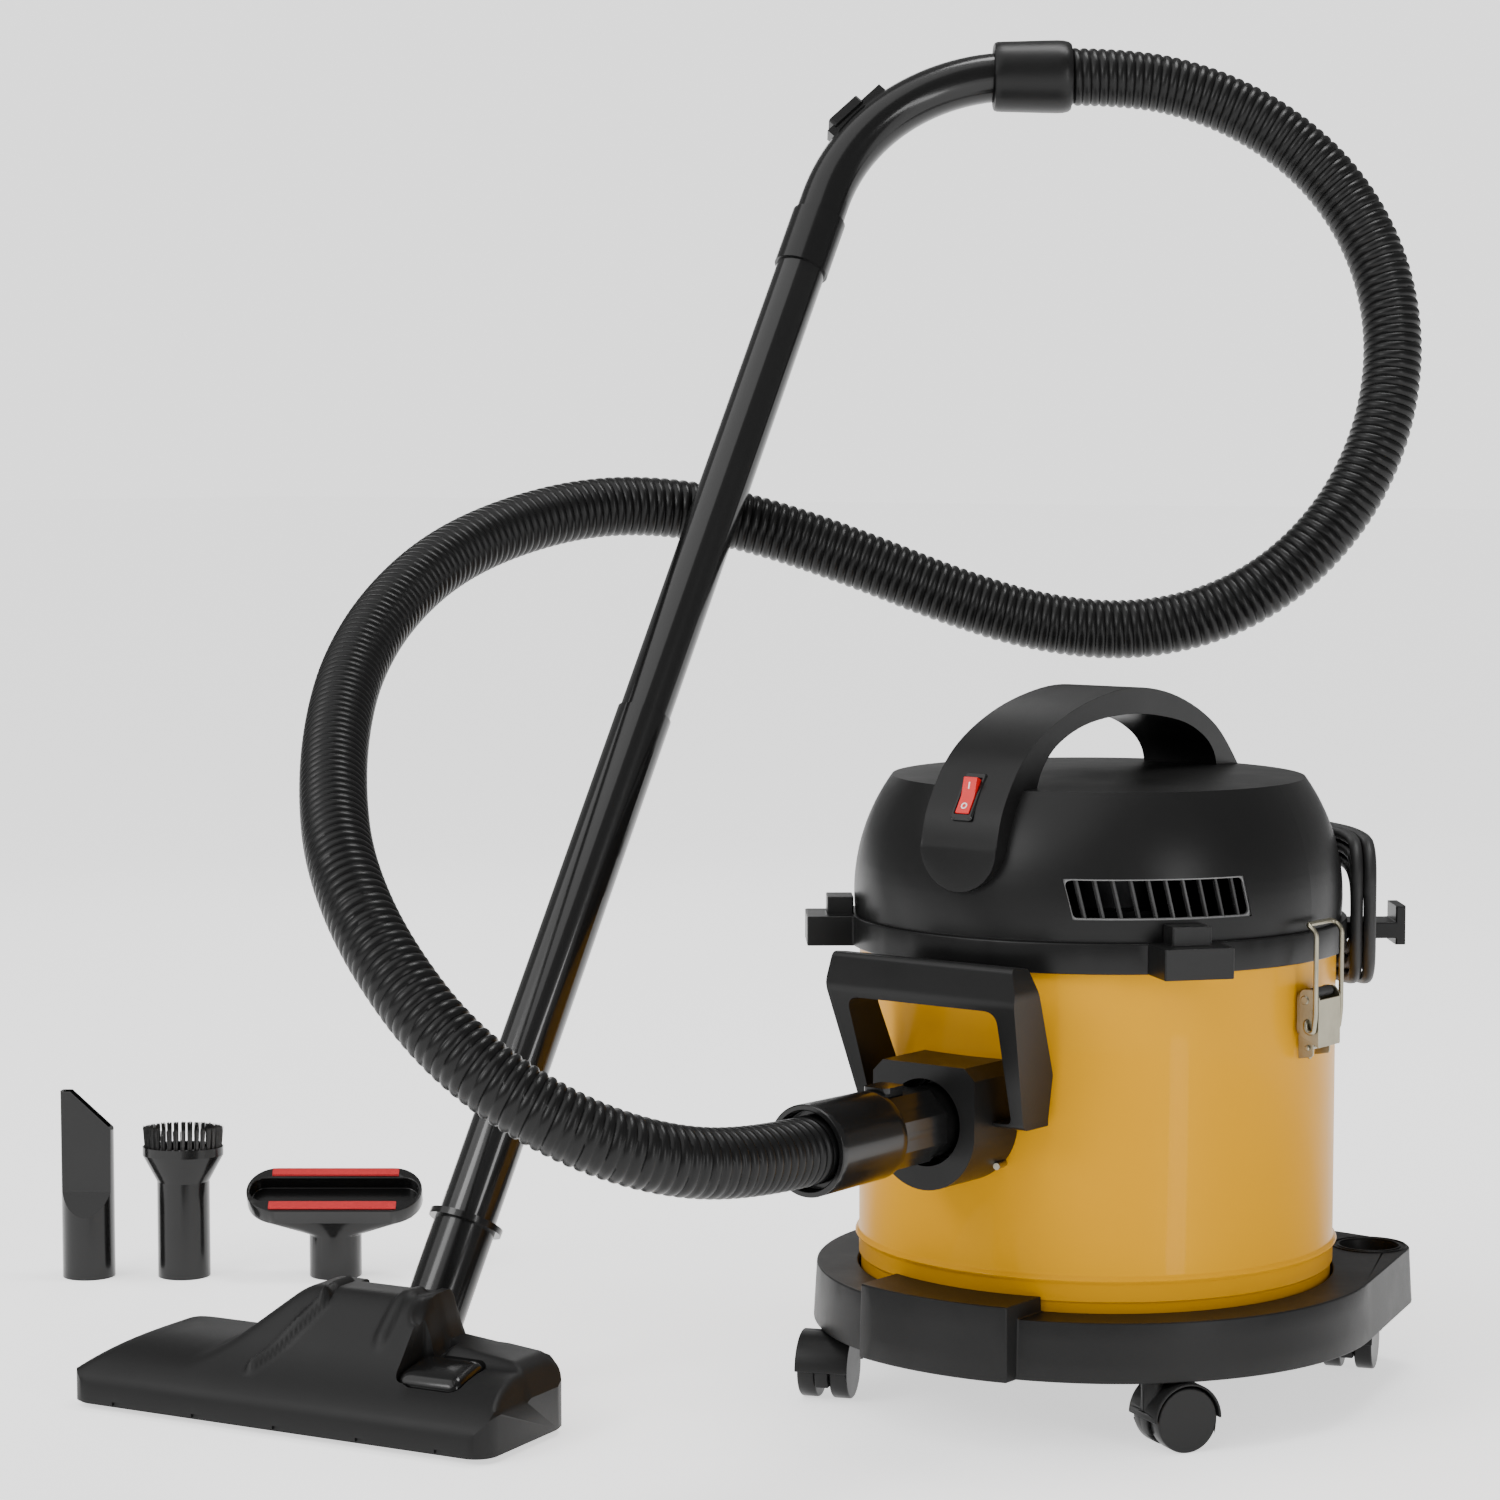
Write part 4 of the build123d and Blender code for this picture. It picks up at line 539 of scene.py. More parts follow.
# power cord: out of the gland, then wound round the two rear hooks, with its plug hanging from the turns
cord = {
    "diameter": 7.5, "length": 5.0, "body": "head", "turns": 6, "gap": 7.9,
    "firstRadius": 157.2, "low": 245.0, "high": 342.0, "edge": 4.2, "from": 25.6, "to": 154.4, "slack": 1.5,
    "start": (132, 120), "over": (115, 90, 65), "under": (60, 85),   # degrees round the head
    "bend": (16, 4, 6),   # at a hook: degrees to its start and to its corner, and the corner's height
    "lead": [(0, 174, 350), (0, 208, 350), (-4, 233, 322), (-14, 229, 287), (-38, 209, 264), (-72, 181, 257)],
    "off": (100, 168.3, 249.5), "plugAt": (-56.1, 154.1),
    "plugLead": ((1.5, 3, 256), (0, 0, 247), (0, 0, 235)),
}


def roundHead(angle, radius, height):
    return (radius * math.cos(math.radians(angle)), radius * math.sin(math.radians(angle)), height)


route = list(cord["lead"])
wide, close, lift = cord["bend"]
for turn in range(cord["turns"]):
    inset = cord["edge"] + cord["gap"] * (turn // 2)
    radius = cord["firstRadius"] + cord["gap"] * (turn % 2)
    narrow = math.degrees(inset / radius)
    low, high = cord["low"] + inset, cord["high"] - inset
    left, right = cord["to"] - narrow + cord["slack"], cord["from"] + narrow - cord["slack"]
    lap = [(cord["start"][min(turn, 1)], low), (left - wide, low), (left - close, low + lift),
           (left, (low + high) / 2), (left - close, high - lift), (left - wide, high)]
    lap += [(angle, high) for angle in cord["over"]]
    lap += [(right + wide, high), (right + close, high - lift), (right, (low + high) / 2),
            (right + close, low + lift), (right + wide, low)]
    lap += [(angle, low) for angle in cord["under"]]
    route += [roundHead(angle, radius, height) for angle, height in lap]
plugX, plugY = cord["plugAt"]
route.append(roundHead(*cord["off"]))
route += [(plugX + x, plugY + y, z) for x, y, z in cord["plugLead"]]
cordPiece = splineCurve("powerCord", route, bevel=cord["diameter"] / 2)
scene.collection.objects.link(cordPiece)
cordPiece.data.materials.append(cordRubber.material)
settle(cordPiece, cord["body"], ["power_cord_lead", "power_cord_hank"])
print("cord line", round(lineLength(curvePoints(route)), 3), "m")


# drum: seamed sheet-metal shell with a rolled bead and a foot band
drum = {
    "steps": 256, "body": "tub",
    "profile": [(143.6, 57.2), (143.6, 80.5), (144.0, 81.6), (145.0, 82.4), (145.0, 92.0), (145.7, 93.0),
                (146.9, 94.1), (147.3, 95.0), (146.9, 95.9), (145.7, 97.0), (145.0, 98.0), (145.0, 272.0),
                (145.0, 279.2), (144.7, 279.9), (144.0, 280.0), (143.9, 279.2), (143.9, 98.0), (143.9, 82.4),
                (142.6, 80.5), (142.6, 60.0), (140.0, 58.4), (0.0, 58.4), (0.0, 57.2)],
}
points, faces = lathe(drum["profile"], steps=drum["steps"])
meshPiece("drumShell", points, faces, yellowPaint, drum["body"], ["drum"], smooth=40)
print("drum made")


# carry handle: a broad strap with thick feet
def aroundCorner(start, here, end, steps):
    # points of a smooth bend from start to end that leans towards here
    bend = []
    for step in range(steps + 1):
        t = step / steps
        bend.append(start * (1 - t) ** 2 + here * 2 * t * (1 - t) + end * t ** 2)
    return bend


def roundedPath(corners, steps=8):
    # an outline of (x, y, radius) corners; a corner of radius 0 stays sharp
    outline = []
    for index, (x, y, radius) in enumerate(corners):
        if not radius:
            outline.append((x, y))
            continue
        here = Vector((x, y))
        back = Vector(corners[index - 1][:2]) - here
        on = Vector(corners[(index + 1) % len(corners)][:2]) - here
        half = back.angle(on) / 2
        reach = min(radius / math.tan(half), 0.49 * back.length, 0.49 * on.length)
        start, end = here + back.normalized() * reach, here + on.normalized() * reach
        outline += [(point.x, point.y) for point in aroundCorner(start, here, end, steps)]
    return outline


def through(points, steps=6):
    # a smooth open line through the points
    ends = [points[0]] + list(points) + [points[-1]]
    line = []
    for index in range(1, len(ends) - 2):
        a, b, c, d = (Vector(point) for point in ends[index - 1:index + 3])
        for step in range(steps):
            t = step / steps
            line.append(tuple(0.5 * ((2 * b) + (c - a) * t + (2 * a - 5 * b + 4 * c - d) * t * t
                                     + (3 * b - a - 3 * c + d) * t ** 3)))
    line.append(tuple(points[-1]))
    return line


handle = {
    "half": 26.5, "round": 3.2, "tongueLow": 318, "body": "head", "foot": -151.2,
    "over": [(-151.2, 342), (-143.5, 367), (-122, 394.5), (-90, 413), (-48, 425.6), (0, 430.6), (50, 422.5),
             (96, 402), (128, 371)],
    "under": [(98, 371), (93, 386), (78, 398), (50, 408), (0, 414.5), (-50, 412), (-84, 402), (-102, 388),
              (-110, 372)],
}
side = [(handle["foot"], handle["tongueLow"])] + through(handle["over"]) + through(handle["under"])
side += [(-130, 330), (-138, handle["tongueLow"])]
across = (Vector((0, 0, 0)), Vector((0, 1, 0)), Vector((0, 0, 1)), Vector((1, 0, 0)))
tongueFoot = handle["tongueLow"] + handle["half"]
rings = []
for width in [-1, -0.98, -0.93, -0.85, -0.7, -0.5, -0.25, 0, 0.25, 0.5, 0.7, 0.85, 0.93, 0.98, 1]:
    x = handle["half"] * width
    low = tongueFoot - math.sqrt(max(handle["half"] ** 2 - x * x, 0))   # the tongue's end is a half circle
    ring = []
    for y, z in side:
        if y < -100 and z < tongueFoot:
            y, z = y, max(z, low)
        ring.append(put(across, y, z, x))
    rings.append(ring)
points, faces = loft(rings)
meshPiece("carryHandle", points, faces, satinBlack, handle["body"], ["carry_handle"],
          bevel=handle["round"], segments=4, bevelAngle=50)
print("handle made")


def cutAway(piece, cutters):
    combine(piece, "DIFFERENCE", cutters)


def combine(piece, operation, cutters):
    # takes closed shapes out of a piece for good, or keeps what lies inside them
    for points, faces in cutters:
        cutter = bpy.data.objects.new("cutter", closedMesh("cutter", points, faces, merge=0))
        scene.collection.objects.link(cutter)
        cutting = piece.modifiers.new("cut", "BOOLEAN")
        cutting.operation = operation
        cutting.solver = "EXACT"
        cutting.object = cutter
        bpy.context.view_layer.update()
        graph = bpy.context.evaluated_depsgraph_get()
        done = bpy.data.meshes.new_from_object(piece.evaluated_get(graph))
        piece.modifiers.remove(cutting)
        old = piece.data
        piece.data = done
        bpy.data.meshes.remove(old)
        bpy.data.objects.remove(cutter)
    piece.data.shade_smooth()
    piece.data.set_sharp_from_angle(angle=math.radians(35))


def box(lowCorner, highCorner, place=upright):
    (x0, y0, z0), (x1, y1, z1) = lowCorner, highCorner
    return prism([(x0, y0), (x1, y0), (x1, y1), (x0, y1)], z0, z1, place)


def tube(line, radius, steps=16):
    # a round bar along a line of points, with flat ends
    turns = [2 * math.pi * k / steps for k in range(steps)]
    rings = [[at + (side * math.cos(turn) + other * math.sin(turn)) * radius for turn in turns]
             for at, side, other, along in carried([Vector(point) for point in line])]
    return loft(rings)


def bent(corners, radius, steps=6):
    # a line of 3-D points with its corners rounded
    line = [Vector(corners[0])]
    for back, here, on in zip(corners, corners[1:], corners[2:]):
        back, here, on = Vector(back), Vector(here), Vector(on)
        reach = min(radius, 0.49 * (back - here).length, 0.49 * (on - here).length)
        start, end = here + (back - here).normalized() * reach, here + (on - here).normalized() * reach
        line += aroundCorner(start, here, end, steps)
    line.append(Vector(corners[-1]))
    return line


# floor nozzle: a long round-nosed bar with a hump for the neck
nozzle = {
    "at": (-290, -298, 0), "turn": 9.5, "body": "nozzle", "step": 2.0, "corner": 14,
    "left": -186, "right": 110, "front": -101, "back": -7, "low": 4.0, "top": 42.0,
    "noseFrom": -34, "noseRun": 2.3, "noseRound": 0.62, "lip": 14.0, "heel": (8, 6),
    "leftEnd": (21, 24, 48), "rightEnd": (27, 1.5),
    "humpLeft": -96, "humpRight": 43, "humpFront": -93, "humpBack": -6, "humpTop": 77.5,
    "sideSlope": 5.0, "leftSlope": 0.86, "frontSlope": 1.25, "frontFoot": 17, "blend": 9.0,
    "shoulder": 51.5, "shoulderFrom": 34, "shoulderFoot": 14, "shoulderFront": -44,
    "ribs": [  # start, end, width, height: the fin, its back, the right cheek's edge, and its pocket
        ((-34, -50), (-64, -83), 3.0, 5.0), ((-34, -24), (-34, -50), 2.6, 3.0),
        ((20, -30), (14, -62), 4.0, 3.2), ((34, -47), (40, -34), 6.5, -7.0),
    ],
    "sole": (293.6, 91.6, 13.8, (-38, -54), 9.1), "hollow": ((-160, -84, 5), (90, -14, 24)),
    "lipNotches": (-150, -92, -34, 24, 78), "notchHalf": 26.4, "notchFrom": -22,
    "pedalWell": (43.6, 37.8, 6.5, 20), "ears": (-31.4, 26.4), "earThick": 5, "earRound": 13, "earFoot": -12,
    "axleHeight": 30,
}
turned = math.radians(nozzle["turn"])
nozzlePlace = (Vector(nozzle["at"]), Vector((math.cos(turned), math.sin(turned), 0)),
               Vector((-math.sin(turned), math.cos(turned), 0)), Vector((0, 0, 1)))
pedal = {
    "at": (55, -61), "width": 42, "length": 34, "low": 28.0, "corner": 6, "body": "pedal",
    "crown": [  # inset, rise
        (0, -1.5), (0.3, 0.6), (1.0, 2.0), (2.4, 3.2), (4.6, 3.9), (9.0, 4.3), (15.0, 4.5),
    ],
}


def softMin(a, b, reach):
    h = max(0.0, min(1.0, 0.5 + 0.5 * (b - a) / reach))
    return b * (1 - h) + a * h - reach * h * (1 - h)


def softMax(a, b, reach):
    return -softMin(-a, -b, reach)


def ridge(x, y, start, end, width, height):
    # a low rib from start to end, highest in its middle line
    run = Vector(end) - Vector(start)
    t = max(0.0, min(1.0, (Vector((x, y)) - Vector(start)).dot(run) / run.length_squared))
    off = (Vector((x, y)) - Vector(start) - run * t).length
    return height * math.exp(-(off / width) ** 4)


def barHeight(y):
    nose = max(0.0, (nozzle["noseFrom"] - y) / (nozzle["noseFrom"] - nozzle["front"]))
    full = max(0.0, 1 - min(nose, 1) ** nozzle["noseRun"]) ** nozzle["noseRound"]
    return nozzle["lip"] + (nozzle["top"] - nozzle["lip"]) * full


def nozzleHeight(x, y):
    top, side = nozzle["top"], nozzle["sideSlope"]
    heelRun, heelDrop = nozzle["heel"]
    bar = barHeight(y) - heelDrop * max(0.0, 1 - (nozzle["back"] - y) / heelRun) ** 2
    low, rise, run = nozzle["leftEnd"]
    bar = softMin(bar, low + rise * math.sin(math.pi / 2 * min(1.0, max(0.0, (x - nozzle["left"]) / run))), 5)
    low, slope = nozzle["rightEnd"]
    bar = softMin(bar, low + slope * (nozzle["right"] - x), 4)
    hump = softMin(nozzle["humpTop"], top - 4 + nozzle["leftSlope"] * (x - nozzle["humpLeft"]), 7)
    hump = softMin(hump, top - 14 + side * (nozzle["humpRight"] - x), 3)
    hump = softMin(hump, nozzle["frontFoot"] + nozzle["frontSlope"] * (y - nozzle["humpFront"]), 9)
    hump = softMin(hump, top + side * (nozzle["humpBack"] - y), 4)
    # shoulder behind the pedal, falling away to the right end and to the front
    shoulder = nozzle["shoulder"] - 0.10 * (x - nozzle["shoulderFrom"])
    shoulder = softMin(shoulder, top + 1.1 * (nozzle["right"] - 12 - x), 5)
    shoulder = softMin(shoulder, top + 1.5 * (y - nozzle["shoulderFront"]), 4)
    shoulder = min(shoulder, top + 2.0 * (nozzle["humpBack"] - y), top + 2.0 * (x - nozzle["shoulderFoot"]))
    height = softMax(softMax(bar, max(hump, 0), nozzle["blend"]), max(shoulder, 0), 4)
    for rib in nozzle["ribs"]:
        height += ridge(x, y, *rib)
    return height


rings = []
countX = int((nozzle["right"] - nozzle["left"]) / nozzle["step"])
countY = int((nozzle["back"] - nozzle["front"]) / nozzle["step"])
corner = nozzle["corner"]
for i in range(countX + 1):
    x = nozzle["left"] + (nozzle["right"] - nozzle["left"]) * i / countX
    # the plan's corners are round
    off = max(0.0, nozzle["left"] + corner - x, x - (nozzle["right"] - corner))
    pull = corner - math.sqrt(max(0.0, corner ** 2 - off ** 2))
    front, back = nozzle["front"] + pull, nozzle["back"] - pull
    ring = [put(nozzlePlace, x, back, nozzle["low"])]
    for j in range(countY + 1):
        y = back + (front - back) * j / countY
        ring.append(put(nozzlePlace, x, y, nozzleHeight(x, y)))
    ring.append(put(nozzlePlace, x, front, nozzle["low"]))
    rings.append(ring)
points, faces = loft(rings)
coverPiece = meshPiece("nozzleCover", points, faces, nozzleBlack, nozzle["body"],
                       ["nozzle_cover"], smooth=42)
soleWidth, soleLength, soleCorner, soleAt, soleTop = nozzle["sole"]
wellWidth, wellLength, wellCorner, wellLow = nozzle["pedalWell"]
cutAway(coverPiece, [
    prism(roundRect(soleWidth, soleLength, soleCorner, centre=soleAt), 0, soleTop, nozzlePlace),
    box(*nozzle["hollow"], nozzlePlace),
    *[box((x - 2.6, -106, 0), (x + 2.6, -97, 6.4), nozzlePlace) for x in nozzle["lipNotches"]],
    box((-nozzle["notchHalf"], nozzle["notchFrom"], 5), (nozzle["notchHalf"], 10, 90), nozzlePlace),
    prism(roundRect(wellWidth, wellLength, wellCorner, centre=pedal["at"]), wellLow, 70, nozzlePlace),
])
ears = []
for end in nozzle["ears"]:
    earPlace = (put(nozzlePlace, end, 0, nozzle["axleHeight"]), nozzlePlace[2], Vector((0, 0, 1)),
                nozzlePlace[1])
    size, foot = nozzle["earRound"], nozzle["earFoot"]
    outline = [(size * math.cos(angle), size * math.sin(angle))
               for angle in map(math.radians, range(-80, 101, 10))]
    ears.append(prism(outline + [(foot, size), (foot, -size)], 0, nozzle["earThick"], earPlace))
points, faces = joined(*ears)
meshPiece("nozzleEars", points, faces, nozzleBlack, nozzle["body"], bevel=0.7)


def pedalRing(inset, rise):
    outline = roundRect(pedal["width"] - 2 * inset, pedal["length"] - 2 * inset,
                        max(1.0, pedal["corner"] - inset * 0.35), centre=pedal["at"])
    return [put(nozzlePlace, x, y, pedal["low"] if rise is None else barHeight(y) + rise) for x, y in outline]


points, faces = loft([pedalRing(0, None)] + [pedalRing(*crown) for crown in pedal["crown"]])
meshPiece("nozzlePedal", points, faces, glossBlack, pedal["body"], ["nozzle_pedal"],
          smooth=30)
print("nozzle made")


# inlet bracket: a leaning grip frame with a block for the hose's end
bracket = {
    "outline": [(-57, 150, 3), (-57, 190, 12), (-66, 266, 20), (-61, 290, 0), (61, 290, 0), (66, 266, 20),
                (57, 190, 12), (57, 150, 3)],
    "side": [(-141, 186, 1), (-141, 216, 8), (-172, 281, 3), (-188, 283, 4), (-190.5, 262, 14),
             (-166, 186, 5)],
    "window": [(-49, 189, 5), (-52, 257, 8), (52, 257, 8), (49, 189, 5)],
    "blockHalf": 35.5, "blockTop": 222, "archZ": 184.2, "archR": 35.7, "front": -185, "back": -128,
    "portR": 25.5, "portZ": 188, "portFrom": -162, "sleeveR": 24.3, "drumR": 145.2, "cut": 7,
    "frameRound": 2.2, "blockRound": 1.8,
}
facingFront = (Vector((0, 0, 0)), Vector((1, 0, 0)), Vector((0, 0, 1)), Vector((0, -1, 0)))
drumCutter = lathe([(0, 120), (bracket["drumR"], 120), (bracket["drumR"], 310), (0, 310)], steps=256)
points, faces = prism(roundedPath(bracket["outline"], 8), 130, 200, facingFront)
framePiece = meshPiece("inletFrame", points, faces, satinBlack, "tub", ["inlet_bracket"])
combine(framePiece, "INTERSECT", [prism(roundedPath(bracket["side"], 8), -72, 72, across)])
cutAway(framePiece, [prism(roundedPath(bracket["window"], 8), 110, 220, facingFront), drumCutter])
half, top, cut, radius = bracket["blockHalf"], bracket["blockTop"], bracket["cut"], bracket["archR"]
arch = [(-half, bracket["portZ"]), (-half, top - cut), (-half + cut, top), (half - cut, top),
        (half, top - cut), (half, bracket["portZ"])]
for degrees in range(6, 175, 6):
    angle = math.radians(degrees)
    arch.append((radius * math.cos(angle), bracket["archZ"] - radius * math.sin(angle)))
points, faces = prism(arch, -bracket["back"], -bracket["front"], facingFront)
blockPiece = meshPiece("inletBlock", points, faces, satinBlack, "tub")
portPlace = (Vector((0, 0, bracket["portZ"])), *facingFront[1:])
bores = [lathe([(0, start), (radius, start), (radius, 240), (0, 240)], portPlace, 96)
         for radius, start in ((bracket["portR"], -bracket["portFrom"]), (bracket["sleeveR"], 100))]
cutAway(blockPiece, [*bores, drumCutter])
roundEdges(framePiece, bracket["frameRound"], 4, 38)
roundEdges(blockPiece, bracket["blockRound"], 4, 38)
print("bracket made")


# exhaust grilles: a thin proud border and upright slats, both in lighter greys that are painted highlights
# along their edges
grille = {
    "angles": (-43.0, 170.0), "half": 56.0, "low": 305.0, "high": 328.5, "slant": 5.0, "corner": 3.5,
    "bars": 10, "bar": 0.75, "deep": 6.5, "overlap": 0.3, "body": "head",
    "domeFoot": (148.0, 292.0), "domeLean": 4.2 / 47.0,
    "border": [  # grow, lift
        (0.7, -0.9), (0.7, 0.25), (0.35, 0.5), (-0.55, 0.5), (-0.9, 0.25), (-0.9, -3.0),
    ],
}


def onDome(angle, across, height, lift):
    footRadius, footHeight = grille["domeFoot"]
    radius = footRadius - (height - footHeight) * grille["domeLean"] + lift
    out = math.sqrt(radius ** 2 - across ** 2)
    cosine, sine = math.cos(math.radians(angle)), math.sin(math.radians(angle))
    return Vector((out * cosine - across * sine, out * sine + across * cosine, height))


parts, borders = [], []
for angle in grille["angles"]:
    border = []
    for grow, lift in grille["border"]:
        low, high = grille["low"] - grow, grille["high"] + grow
        half, slant = grille["half"] + grow, grille["slant"]
        outline = roundedPath([(-half + slant, low, grille["corner"]), (half, low, grille["corner"]),
                               (half - slant, high, grille["corner"]), (-half, high, grille["corner"])], 5)
        fine = []
        for index, (u, z) in enumerate(outline):
            nextU, nextZ = outline[(index + 1) % len(outline)]
            pieces = 12 if abs(nextU - u) > 40 else 1
            fine += [(u + (nextU - u) * k / pieces, z + (nextZ - z) * k / pieces) for k in range(pieces)]
        border.append([onDome(angle, u, z, lift) for u, z in fine])
    borders.append(hoop(border))
    for index in range(grille["bars"]):
        middle = (index + 1) * 2 * grille["half"] / (grille["bars"] + 1) - grille["half"]
        rings = []
        bar, deep = grille["bar"], grille["deep"]
        section = [(-bar, -deep), (-bar, -0.5), (-bar * 0.5, -0.1), (bar * 0.5, -0.1), (bar, -0.5),
                   (bar, -deep)]
        for z in (grille["low"] - grille["overlap"], grille["high"] + grille["overlap"]):
            u = middle + grille["slant"] * (0.5 - (z - grille["low"]) / (grille["high"] - grille["low"]))
            rings.append([onDome(angle, u + du, z, lift) for du, lift in section])
        parts.append(loft(rings))
points, faces = joined(*parts)
meshPiece("exhaustGrilles", points, faces, grilleSlatsPaintedHighlight, grille["body"], ["exhaust_grilles"],
          smooth=30)
points, faces = joined(*borders)
meshPiece("grilleBorders", points, faces, grilleBorderPaintedHighlight, grille["body"], smooth=30)
print("grilles made")


# grip cuff: a bell over the pipe's end that swells to a round lip round the hose
cuff = {
    "corner": (-290, 162, 826.7), "along": (0.7934, 0.6088, 0), "body": "tub",
    "profile": [(18.9, 86), (21.6, 85), (22.8, 85.6), (23.5, 87.5), (23.7, 91), (24.0, 104), (24.4, 118),
                (24.6, 128), (24.4, 132.5), (23.6, 136), (22.2, 137.7), (20.4, 138), (20.0, 137.2),
                (20.0, 122), (18.9, 120)],
}
points, faces = lathe(cuff["profile"], frameOf(cuff["corner"], cuff["along"]), 96, closed=True)
meshPiece("gripCuff", points, faces, satinBlack, cuff["body"], ["grip_cuff"], smooth=40)
print("cuff made")


# storage lobes: a double ring round each recess
lobe = {"x": 114, "y": 141, "rings": ((18.6, 19.8), (22.4, 23.4)), "low": 75.5, "top": 76.9, "chamfer": 0.3}
low, top, cut = lobe["low"], lobe["top"], lobe["chamfer"]
parts = []
for x in (lobe["x"], -lobe["x"]):
    place = (Vector((x, lobe["y"], 0)), *upright[1:])
    for inner, outer in lobe["rings"]:
        parts.append(lathe([(inner, low), (inner, top - cut), (inner + cut, top), (outer - cut, top),
                            (outer, top - cut), (outer, low)], place, 64, closed=True))
points, faces = joined(*parts)
meshPiece("lobeRings", points, faces, baseBlack, "tub", smooth=30)
print("lobe rings made")


# latches: zinc boxes on the drum's sides with wire bails
latch = {
    "plateIn": 145.9, "plateOut": 147.9, "half": 11.8, "earHalf": 10.4, "low": 231, "high": 257, "sheet": 1.2,
    "ear": [(146.5, 217, 0), (146.5, 234, 0), (151, 234, 4), (156.5, 228, 3), (156.5, 219, 2)],
    "cheekHalf": 13.0,
    "cheek": [(148.3, 231, 1.5), (148.3, 259, 5.5), (158.0, 259, 3.0), (161.5, 254.5, 1.0),
              (161.5, 224.8, 0)],
    "outer": [(160.3, 224.8), (161.5, 224.8), (161.5, 253.2), (160.3, 253.2)], "outerIn": 0.5,
    "pins": [((153, 224), 1.6, 12.4), ((152.0, 252.4), 2.7, 13.9), ((157.6, 246.0), 1.1, 13.4)],
    "roller": ((155.5, 256.4), 3.1, 9.9), "chamfer": 0.5, "soften": 0.35,
    "bailAt": (153.5, 240), "wire": 1.5, "bailHalf": 15.2, "bailIn": 7, "bailBend": 3.4,
    "bailOut": 160.4, "bailTip": 154.2, "bailTop": 297.3,
}


def chamferedPin(spot, turn, radius, half, steps):
    # a round pin that lies along the drum's Y
    cut = latch["chamfer"]
    place = (Vector((turn * spot[0], 0, spot[1])), Vector((1, 0, 0)), Vector((0, 0, 1)), Vector((0, 1, 0)))
    return lathe([(0, -half), (radius - cut, -half), (radius, -half + cut), (radius, half - cut),
                  (radius - cut, half), (0, half)], place, steps)


for sideName, turn in (("right", 1), ("left", -1)):
    def sheetParts(outline, half, turn=turn):
        # the same sheet outline at both ends of a width
        outward = (Vector((turn, 0, 0)), Vector((0, 0, 1)), Vector((0, 1, 0)))
        return [prism(outline, 0, latch["sheet"], (Vector((0, y, 0)), *outward))
                for y in (-half, half - latch["sheet"])]

    facingOut = (Vector((turn * latch["plateIn"], 0, 0)), Vector((0, 1, 0)), Vector((0, 0, 1)),
                 Vector((turn, 0, 0)))
    plateMid = (latch["low"] + latch["high"]) / 2
    plate = prism(roundRect(2 * latch["half"], latch["high"] - latch["low"], 4, centre=(0, plateMid)), 0,
                  latch["plateOut"] - latch["plateIn"], facingOut)
    points, faces = joined(plate, *sheetParts(roundedPath(latch["ear"], 4), latch["earHalf"]))
    meshPiece("latchBracket_" + sideName, points, faces, zincSteel, "tub",
              ["latch_bracket_" + sideName], bevel=latch["soften"], segments=2)

    start = latch["outerIn"] - latch["cheekHalf"]
    outer = prism(latch["outer"], 0, -2 * start, (Vector((0, start, 0)), Vector((turn, 0, 0)),
                                                  Vector((0, 0, 1)), Vector((0, 1, 0))))
    points, faces = joined(*sheetParts(roundedPath(latch["cheek"], 5), latch["cheekHalf"]), outer)
    meshPiece("latchBox_" + sideName, points, faces, zincSteel, "lever_" + sideName,
              ["latch_lever_" + sideName], bevel=latch["soften"], segments=2)
    pins = [chamferedPin(spot, turn, radius, half, 24) for spot, radius, half in latch["pins"]]
    points, faces = joined(*pins)
    meshPiece("latchPins_" + sideName, points, faces, zincSteel, "lever_" + sideName, smooth=30)
    spot, radius, half = latch["roller"]
    points, faces = chamferedPin(spot, turn, radius, half, 32)
    meshPiece("latchRoller_" + sideName, points, faces, sealRubber, "lever_" + sideName,
              smooth=30)

    (bailX, bailZ), reach, out = latch["bailAt"], latch["bailHalf"], latch["bailOut"]
    halfLine = [(bailX, latch["bailIn"], bailZ), (bailX, reach, bailZ), (bailX + 1.0, reach, bailZ - 6.0),
                (bailX + 5.6, reach, bailZ - 6.4), (out, reach, bailZ + 4),
                (out, reach, latch["bailTop"] - 4), (latch["bailTip"], reach, latch["bailTop"])]
    wire = [(turn * x, -y, z) for x, y, z in halfLine] + [(turn * x, y, z) for x, y, z in reversed(halfLine)]
    points, faces = tube(bent(wire, latch["bailBend"]), latch["wire"])
    meshPiece("latchBail_" + sideName, points, faces, zincSteel, "bail_" + sideName,
              ["latch_bail_" + sideName], smooth=60)
print("latches made")


# rocker switch on the strap
switch = {
    "at": (0, -139, 372.5), "tilt": 34.0, "body": "head", "rockerBody": "rocker", "lean": 10.0,
    "bezel": [  # width, length, corner, height
        (10.4, 23.9, 0.6, -6), (10.4, 23.9, 0.6, 1.2), (11.4, 24.9, 0.9, 1.9), (13.4, 29.9, 1.6, 1.9),
        (15.0, 31.5, 2.0, 0.7), (15.0, 31.5, 2.0, 0.0), (12.8, 29.3, 1.0, 0.0), (12.8, 29.3, 1.0, -6),
    ],
    "rocker": [(-11.4, -4), (-11.4, 3.6), (-10.9, 4.1), (0, 2.3), (10.9, 4.1), (11.4, 3.6), (11.4, -4),
               (0, -5)],
    "rockerHalf": 4.7, "saddle": 2.3, "slope": 0.165, "markLow": -0.1, "markHigh": 0.14,
    "line": [(-0.4, 4.2), (0.4, 4.2), (0.4, 8.2), (-0.4, 8.2)], "ringAt": -6.4, "ring": (1.3, 2.0),
}
tilt = math.radians(switch["tilt"])
